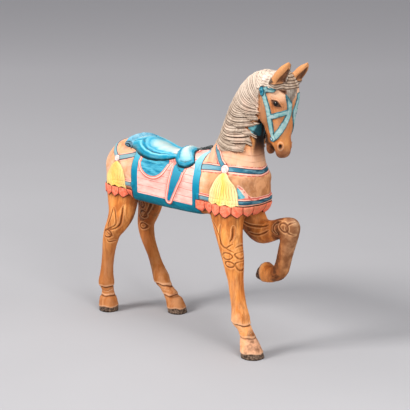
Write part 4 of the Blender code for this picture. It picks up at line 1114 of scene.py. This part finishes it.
# Rubbed pale on the lower legs.
rubbed = p.times(p.fit(p.noise(17, 4., .6, (1, 1, .45), .5), .44, .62), p.fit(up, .34, .12, 0., .75), p.fit(p.axis(0), -.1, .1, .40, 1.))
wood = p.mix(rubbed, wood, (.88, .48, .255))
# Painted shade on the inner faces of the legs and under the body.
wood = p.mix(p.times(p.field("leg_shade"), p.fit(blotch, .30, .62, .97, .66)), wood, p.mix(p.fit(p.noise(38, 4., .65), .40, .60), (.055, .018, .008), (.32, .085, .018)))
# Paler flesh paint over the body and the foot of the neck, worn through to the wood.
flesh = p.mix(p.fit(brush, .35, .65), (.78, .43, .255), (.87, .61, .44))
flesh = p.mix(p.fit(up, .655, .715, 0., .75), flesh, p.mix(p.fit(p.axis(0), .20, .26), (.87, .61, .50), (.80, .48, .33)))
cover = p.times(p.field("flesh"), p.fit(blotch, .36, .60, .30, .95))
colour = p.mix(cover, wood, flesh)
# Between the chest straps the paint has gone and a brown stain shows.
chest = p.times(p.fit(p.axis(0), .135, .175), p.fit(up, .672, .662), p.fit(up, .575, .585))
bare = p.mix(p.fit(p.noise(24, 5., .62, (1, 1, .8), .8), .40, .58), (.36, .135, .046), (.66, .31, .145))
colour = p.mix(p.times(chest, .80), colour, bare)
# Painted shade cast by the head, with a dark stain, down the front of the neck.
dark = p.mix(p.fit(up, .740, .790), p.mix(streak, (.085, .028, .012), (.26, .085, .032)), (.010, .008, .008))
# Shallow folds over the foot of the neck, drawn only as painted shade in their creases.
fold = p.ridge(p.calc("MULTIPLY_ADD", p.noise(9, 2.), .030, p.calc("MULTIPLY_ADD", p.axis(0), .14, up)), .0235)
foot = p.times(p.fit(up, .692, .704), p.fit(up, .80, .775), p.fit(p.axis(0), .150, .185), p.fit(p.noise(30, 2.), .38, .60, .15, .75))
colour = p.mix(p.times(foot, p.fit(fold, .74, .97)), colour, (.46, .20, .11))
colour = p.mix(p.times(p.field("throat"), .98), colour, dark)

# Mane and brow hair: greyed taupe, warm where it thins, brown in the grooves, with a painted shadow where each lock
# laps over the one below.
strand = p.ridge(p.field("phase"), STRAND)
thread = p.ridge(p.field("phase"), STRAND / 3)
hair = p.mix(p.fit(p.noise(40, 4., .6, (1, 1, .5), .8), .36, .64), (.36, .265, .195), (.62, .50, .40))
hair = p.mix(p.fit(p.field("tone"), .1, .9, 0., .45), hair, (.27, .190, .135))
hair = p.mix(p.fit(up, .86, 1.04, 0., .66), hair, (.84, .70, .585))
hair = p.mix(p.fit(p.noise(13, 3.), .52, .70, 0., .35), hair, (.74, .46, .34))
hair = p.mix(p.fit(thread, .45, 1., 0., .28), hair, (.20, .125, .080))
hair = p.mix(p.times(p.fit(strand, .60, .95), p.fit(p.field("groove"), .05, .75, .25, 1.), p.fit(p.noise(26, 3.), .30, .56, .50, .97)), hair, (.062, .034, .020))
# Painted shadow where each lock laps over the one below.
hair = p.mix(p.times(p.fit(p.field("lock"), .84, 1.), p.fit(p.field("mane_fall"), .010, .060), .85), hair, (.070, .036, .020))
colour = p.mix(p.within("mane", .0016, .0012), colour, hair)
brow = p.mix(p.fit(p.noise(60, 3., .6, (1, 1, .3)), .35, .65), (.30, .205, .140), (.58, .45, .35))
brow = p.mix(p.fit(p.axis(0), .435, .400, 0., .65), brow, (.80, .67, .56))
brow = p.mix(p.times(p.fit(p.ridge(p.field("brow_line"), .0084), .50, .90, 0., .92), p.fit(p.axis(0), .400, .435, .30, 1.)), brow, (.055, .028, .018))
brow = p.mix(p.fit(p.field("hair"), -.0052, -.0010, 0., .92), brow, (.070, .036, .022))
colour = p.mix(p.within("hair", .0014, .0008), colour, brow)
fore = p.mix(p.fit(p.noise(70, 2., .6, (1, 1, .4)), .4, .6), (.22, .17, .135), (.52, .45, .38))
fore = p.mix(p.fit(p.ridge(p.axis(1), .0060), .50, .95, 0., .80), fore, (.07, .048, .035))
fore = p.mix(p.fit(p.field("forelock"), -.0035, -.0006, 0., .55), fore, (.09, .05, .035))
colour = p.mix(p.times(p.within("forelock", .0014, .0006), p.fit(p.within("hair", .0014, .0008), 1., 0.)), colour, fore)

# Blanket: blue border that pales toward the top, pink cloth ruled with thin red lines.
blue = p.ramp(p.fit(up, .50, .72), [(0, (.001, .115, .160)), (.22, (.001, .165, .265)), (.50, (.001, .235, .385)),
                                    (.72, (.060, .37, .50)), (1, (.40, .63, .70))])
blue = p.mix(p.fit(brush, .45, .70, 0., .35), blue, (.003, .31, .43))
colour = p.mix(p.within("blanket", .0012, .0005), colour, blue)
pink = p.mix(p.fit(brush, .35, .65), (.92, .43, .37), (.97, .58, .51))
rule = p.ridge(p.calc("MULTIPLY_ADD", p.noise(14, 2.), .010, p.calc("SUBTRACT", up, .0085)), .0265)
pink = p.mix(p.times(p.fit(rule, .900, .970), p.fit(p.noise(30, 2.), .38, .52, .35, .95)), pink, (.60, .12, .10))
colour = p.mix(p.within("field", .0012, .0005), colour, pink)
colour = p.mix(p.line("blanket", .0010), colour, (.10, .030, .030))

# Half-moon flap and stirrup leather, each in a doubled coral edge.
for outer, inner, middle in (("flap_edge", "flap", .0062), ("leather_edge", "leather", .0065)):
    edge = p.mix(p.fit(brush, .35, .65), (.84, .185, .125), (.93, .30, .22))
    edge = p.mix(p.line(p.calc("SUBTRACT", p.field(inner), middle), .0016, .0014), edge, (.96, .62, .55))
    edge = p.mix(p.times(p.line(p.calc("ADD", p.field(outer), .0006), .0012, .0010), .85), edge, (.42, .050, .040))
    colour = p.mix(p.times(p.within(outer, .0010, .0004), p.within("blanket", .0010)), colour, edge)
flap = p.mix(p.fit(p.noise(70, 3., .6, (.3, 1, 1.4)), .38, .62), (.003, .175, .300), (.080, .40, .53))
leather = p.mix(p.fit(up, .56, .68), (.001, .180, .310), (.045, .30, .42))
leather = p.mix(p.fit(brush, .45, .70, 0., .40), leather, (.006, .31, .47))
colour = p.mix(p.within("flap", .0010, .0005), colour, flap)
colour = p.mix(p.times(p.within("leather", .0010, .0005), p.within("blanket", .0010)), colour, leather)

# Straps: pink margins, red lines, blue bands with painted shade darkening them round the chest.
margin = p.mix(p.fit(brush, .35, .65), (.90, .40, .30), (.96, .57, .46))
colour = p.mix(p.within("strap_pink", .0014, .0008), colour, margin)
colour = p.mix(p.times(p.within("strap_red", .0010, .0005), .9), colour, (.60, .090, .060))
band = p.ramp(p.fit(p.axis(0), .10, .33), [(0, (.22, .34, .37)), (.45, (.060, .24, .33)), (.72, (.025, .150, .225)), (1, (.012, .060, .095))])
band = p.mix(p.fit(p.noise(55, 3., .6, (.4, .4, 1.6)), .46, .66, 0., .65), band, (.20, .42, .50))
colour = p.mix(p.within("strap_blue", .0010, .0004), colour, band)
colour = p.mix(p.times(p.line("strap_blue", .0013, .0012), .90), colour, (.020, .020, .032))
teal = p.mix(p.fit(brush, .35, .65), (.040, .26, .34), (.20, .52, .57))
# The painted shade down the front of the neck darkens the teal leaf at the throat too.
teal = p.mix(p.times(p.fit(p.field("throat"), .05, .60), .93), teal, (.008, .045, .060))
colour = p.mix(p.within("teal", .0014, .0006), colour, teal)

# Scallops, tassels, rosettes.
coral = p.mix(p.fit(p.noise(95, 3.), .35, .65), (.84, .130, .062), (.95, .27, .165))
coral = p.mix(p.fit(p.field("coral_seam"), .84, .97, 0., .95), coral, (.20, .018, .010))
coral = p.mix(p.times(p.fit(p.axis(0), .250, .320), p.fit(p.noise(45, 4.), .40, .60), .70), coral, (.52, .20, .095))
# Painted shadow just below the lower edges of the scallops.
colour = p.mix(p.line(p.calc("ADD", p.field("coral"), -.0012), .0020, .0014), colour, (.10, .020, .012))
colour = p.mix(p.within("coral", .0012, .0005), colour, coral)
tress = p.ridge(p.calc("MULTIPLY_ADD", p.noise(24, 2.), .10, p.field("strands")), .1818)
yellow = p.mix(p.fit(p.calc("ABSOLUTE", p.field("strands")), 0., .95), (.96, .62, .105), (.93, .74, .38))
yellow = p.mix(p.fit(p.noise(55, 3., .6, (1, 1, .25)), .40, .66, 0., .55), yellow, (.97, .80, .42))
yellow = p.mix(p.fit(p.axis(0), -.20, -.26, 0., .45), yellow, (.94, .58, .10))
yellow = p.mix(p.fit(tress, .70, 1., 0., .62), yellow, (.46, .235, .060))
colour = p.mix(p.within("yellow", .0014, .0010), colour, yellow)
colour = p.mix(p.times(p.line("yellow", .0010, .0012), .6), colour, (.40, .15, .060))
rose = p.mix(p.fit(p.noise(140, 2.), .35, .65), (.92, .60, .56), (.96, .80, .78))
rose = p.mix(p.fit(p.ridge(p.field("rose_round"), .6667), .55, .95, 0., .55), rose, (.70, .27, .25))
colour = p.mix(p.within("rose", .0010, .0004), colour, rose)

# Saddle: white seat shading through cyan to strong blue rolls and a dark lower edge, with painted highlights along the
# crests of the rolls.
climb = p.calc("MULTIPLY_ADD", p.noise(26, 3.), .16, p.calc("ADD", p.field("saddle_band"), -.08))
seat = p.ramp(p.fit(climb, 0., 4.), [(0, (.001, .040, .055)), (.065, (.001, .075, .110)), (.105, (.001, .190, .300)), (.185, (.006, .290, .470)),
                                     (.222, (.020, .36, .56)), (.243, (.26, .62, .77)), (.259, (.30, .67, .80)), (.282, (.020, .31, .52)),
                                     (.310, (.006, .24, .42)), (.335, (.20, .57, .76)), (.350, (.14, .52, .74)), (.370, (.035, .38, .62)),
                                     (.390, (.22, .58, .76)), (.415, (.50, .68, .73)), (.450, (.64, .68, .68)), (1, (.66, .68, .67))])
seat = p.mix(p.times(p.field("lobe_face"), p.fit(climb, .50, 1.1), p.fit(climb, 1.25, 3.6, .96, .88)), seat, p.ramp(p.fit(climb, 1.2, 4.), [(0, (.006, .25, .42)), (.22, (.040, .36, .55)), (.50, (.20, .52, .66)), (1, (.44, .63, .64))]))
seat = p.mix(p.times(p.field("lobe_face"), p.fit(climb, .85, .40), .85), seat, (.002, .045, .065))
seat = p.mix(p.fit(p.noise(40, 4., .6, (.4, 1, 1), .6), .45, .72, 0., .25), seat, (.54, .64, .67))
seat = p.mix(p.times(p.fit(p.axis(0), -.225, -.275), p.fit(climb, 1.2, 1.8), p.fit(p.noise(34, 4.), .36, .60, .25, .80)), seat, (.33, .55, .66))
seat = p.mix(1., seat, p.mix(p.fit(climb, 1.5, 1.9), (.66, .88, .86), (1., .96, .90)), "MULTIPLY")
on_saddle = p.within("saddle", .0012, .0005)
# Painted shade just below the saddle's lower edge.
colour = p.mix(p.times(p.line(p.calc("ADD", p.field("saddle"), -.0008), .0020, .0014), .90), colour, (.004, .022, .030))
colour = p.mix(on_saddle, colour, seat)
roll = p.mix(p.fit(brush, .35, .68), (.045, .31, .48), (.30, .56, .68))
colour = p.mix(p.within("roll", .0016, .0008), colour, roll)
coil = p.ridge(p.field("roll_turn"), .0078)
end = p.mix(p.fit(coil, .30, .75), (.14, .26, .34), (.008, .028, .038))
colour = p.mix(p.within("roll_end", .0010, .0004), colour, end)
colour = p.mix(p.within("pommel", .0012, .0006), colour, p.mix(p.fit(p.noise(80, 3.), .40, .66), (.022, .027, .030), (.14, .15, .15)))

# Bridle.
aqua = p.mix(p.fit(brush, .35, .68), (.17, .37, .37), (.40, .56, .54))
aqua = p.mix(p.fit(p.noise(42, 3.), .50, .68, 0., .6), aqua, (.42, .47, .49))
edge = p.mix(p.fit(brush, .40, .60), (.006, .050, .070), (.030, .17, .21))
aqua = p.mix(p.fit(p.field("bridle"), -.0050, -.0022, 0., .96), aqua, edge)
colour = p.mix(p.within("bridle", .0010, .0004), colour, aqua)
colour = p.mix(p.times(p.within("bow", .0060, .0020), .60), colour, (.84, .70, .63))
colour = p.mix(p.within("knot", .0012, .0004), colour, p.mix(p.fit(p.noise(190, 2.), .42, .60), (.003, .100, .165), (.060, .34, .45)))
colour = p.mix(p.times(p.line("knot", .0012), .8), colour, (.004, .030, .045))
colour = p.mix(p.within("ring", .0012, .0004), colour, (.020, .160, .220))
colour = p.mix(p.within(p.calc("ADD", p.field("ring"), .0040), .0012, .0004), colour, (.90, .74, .72))

# Eye, ears, nostril, mouth.
colour = p.mix(p.times(p.line(p.calc("SUBTRACT", p.field("eye"), .0014), .0018, .0016), .80), colour, (.16, .050, .020))
colour = p.mix(p.within("eye", .0010, .0002), colour, (.075, .036, .020))
colour = p.mix(p.within("iris", .0012, .0002), colour, (.008, .006, .006))
colour = p.mix(p.times(p.within("glint", .0010, .0002), p.within("iris", .0012)), colour, (.45, .40, .36))
colour = p.mix(p.fit(p.field("ear"), .0005, -.0045, 0., .92), colour, p.mix(p.fit(grain, .35, .65), (.070, .026, .012), (.20, .075, .032)))
lips = p.times(p.fit(up, .802, .762), p.fit(p.axis(0), .345, .365), p.fit(p.noise(40, 3.), .30, .60, .50, .90))
colour = p.mix(lips, colour, (.17, .055, .018))
chin = p.times(p.fit(up, .800, .775), p.fit(p.axis(0), .392, .378), p.fit(p.axis(0), .340, .350))
colour = p.mix(p.times(chin, .80), colour, p.mix(p.fit(p.noise(60, 3.), .40, .60), (.070, .024, .010), (.30, .095, .030)))
# A faint painted highlight round the nostril.
colour = p.mix(p.times(p.line(p.calc("SUBTRACT", p.field("nostril"), .0045), .0022, .0024), .25), colour, (.95, .66, .44))
colour = p.mix(p.fit(p.field("nostril"), .0018, -.0014, 0., .96), colour, (.022, .010, .007))
colour = p.mix(p.fit(p.field("mouth"), .0, -.009, 0., .94), colour, (.045, .016, .009))
colour = p.mix(p.within("mouth_line", .0022, .0003), colour, (.085, .026, .012))

# Leg ornament: stain lies in the cuts, their lips are rubbed light.
patchy = p.fit(p.noise(28, 3.), .32, .56, .35, 1.)
colour = p.mix(p.times(p.fit(p.calc("ABSOLUTE", p.calc("SUBTRACT", p.field("cut"), 2.1)), .9, .2), patchy, .34), colour, (.92, .52, .25))
colour = p.mix(p.times(p.fit(p.field("cut"), 1.30, .30), patchy, .66), colour, (.16, .045, .012))
colour = p.mix(p.times(p.fit(p.calc("ABSOLUTE", p.calc("ADD", p.field("ledge"), .0016)), .0036, .0010), .75), colour, (.15, .046, .016))
colour = p.mix(p.times(p.fit(p.calc("ABSOLUTE", p.calc("SUBTRACT", p.field("ledge"), .0046)), .0050, .0012), .45), colour, (.92, .54, .32))
# The front hoof is scraped pale.
colour = p.mix(p.times(p.fit(p.axis(0), .27, .30), p.fit(up, .078, .070), p.fit(p.noise(60, 4.), .30, .62, .15, .75)), colour, (.92, .50, .30))

# Hooves: dark, scuffed rim with a pale line over it.
rim = p.mix(p.fit(p.noise(150, 4., .7), .40, .66), (.038, .022, .015), (.30, .20, .14))
rim = p.mix(p.fit(up, .006, .0, 0., .8), rim, (.012, .009, .008))
colour = p.mix(p.times(p.line(p.calc("SUBTRACT", p.field("rim"), .0024), .0016, .0016), .70), colour, (.58, .35, .22))
colour = p.mix(p.within("rim", .0012, .0006), colour, rim)

# Dark wash left in the hollows, paint rubbed thin on the proud edges.
wash = p.times(p.fit(hollow, .00025, .0018), p.fit(p.noise(34, 3.), .30, .60, .50, .90))
colour = p.mix(wash, colour, p.mix(.70, colour, (.16, .060, .026), "MULTIPLY"))
colour = p.mix(p.fit(hollow, .0010, .0032, 0., .55), colour, (.085, .032, .014))
worn = p.times(p.fit(hollow, -.0006, -.0024), p.fit(p.noise(70, 4.), .46, .66, 0., .24))
colour = p.mix(worn, colour, p.mix(.4, colour, (.94, .76, .56)))
colour = p.mix(p.fit(p.noise(6, 5., .6), .52, .74, 0., .18), colour, p.mix(.8, colour, (.46, .28, .16), "MULTIPLY"))

shader = p.node("BsdfPrincipled")
p.put(shader.inputs["Base Color"], colour)
p.put(shader.inputs["Roughness"], p.fit(p.calc("MULTIPLY_ADD", speck, .25, blotch), .40, .90, .46, .70))
shader.inputs["Specular IOR Level"].default_value = .13
rough_form = p.calc("ADD", p.times(p.noise(120, 4., .6, (1, 1, .35)), .0009), p.times(speck, .00025))
rough_form = p.calc("SUBTRACT", rough_form, p.times(p.fit(strand, .55, 1.), p.within("mane"), .0006))
bump = p.node("Bump")
bump.inputs["Strength"].default_value = .55
bump.inputs["Distance"].default_value = 1.
p.put(bump.inputs["Height"], rough_form)
p.put(shader.inputs["Normal"], bump.outputs[0])
out_node = p.node("OutputMaterial")
p.put(out_node.inputs["Surface"], shader.outputs[0])
material = p.material

f = Paint("studio_grey")
grey = f.mix(f.fit(f.noise(.8, 3.), .3, .7), (.395, .391, .406), (.418, .414, .430))
# Painted light: the floor grows lighter with distance behind the horse, as a lit backdrop does.
away = f.calc("SUBTRACT", f.axis(1), f.axis(0))
grey = f.mix(f.fit(away, .5, 9.), grey, (.66, .65, .675))
grey_shader = f.node("BsdfPrincipled")
f.put(grey_shader.inputs["Base Color"], grey)
grey_shader.inputs["Roughness"].default_value = .9
grey_shader.inputs["Specular IOR Level"].default_value = .1
f.put(f.node("OutputMaterial").inputs["Surface"], grey_shader.outputs[0])
floor_material = f.material


# ---- floor, light, camera ------------------------------------------------------------
horse.data.materials.append(material)
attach(horse, "root")
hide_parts("carved_horse")

bm = bmesh.new()
bmesh.ops.create_grid(bm, x_segments=2, y_segments=2, size=30)
plane = bpy.data.meshes.new("studio_floor")
bm.to_mesh(plane)
bm.free()
floor = bpy.data.objects.new("studio_floor", plane)
bpy.context.scene.collection.objects.link(floor)
floor.data.materials.append(floor_material)


def soft_light(name, place, aim, size, power, colour):
    data = bpy.data.lights.new(name, "AREA")
    data.energy, data.size, data.color = power, size, colour
    lamp = bpy.data.objects.new(name, data)
    bpy.context.scene.collection.objects.link(lamp)
    lamp.location = place
    lamp.rotation_euler = (Vector(aim) - Vector(place)).to_track_quat("-Z", "Y").to_euler()


soft_light("key", (-2.9, -5.9, 5.2), (0, 0, .55), 2.4, KEY, (1, .985, .96))
soft_light("front", (3.7, -1.3, 2.3), (.1, 0, .55), 1.9, FRONT, (1, .99, .97))
soft_light("top", (.3, -.2, 3.6), (0, 0, .5), 2.2, TOP, (1, 1, 1))

world = bpy.data.worlds.new("studio")
bpy.context.scene.world = world
world.use_nodes = True
world.node_tree.nodes["Background"].inputs[0].default_value = (.975, .97, 1, 1)
world.node_tree.nodes["Background"].inputs[1].default_value = AMBIENT

camera = bpy.data.objects.new("camera", bpy.data.cameras.new("camera"))
bpy.context.scene.collection.objects.link(camera)
bpy.context.scene.camera = camera
camera.data.sensor_width = 36
camera.data.lens = 18 / np.tan(np.radians(17) / 2)
camera.data.clip_end = 200
turn, rise_ = np.radians(45), np.radians(14.5)
back = Vector((np.sin(turn) * np.cos(rise_), -np.cos(turn) * np.cos(rise_), np.sin(rise_)))
right = Vector((0, 0, 1)).cross(back).normalized()
up = back.cross(right)
eye = Vector((3.46782 + SHIFT_X, -3.52535, 1.79192))
camera.matrix_world = Matrix([(right[i], up[i], back[i], eye[i]) for i in range(3)] + [(0, 0, 0, 1)])

bpy.context.scene.view_settings.view_transform = "Standard"
bpy.context.scene.view_settings.look = "None"
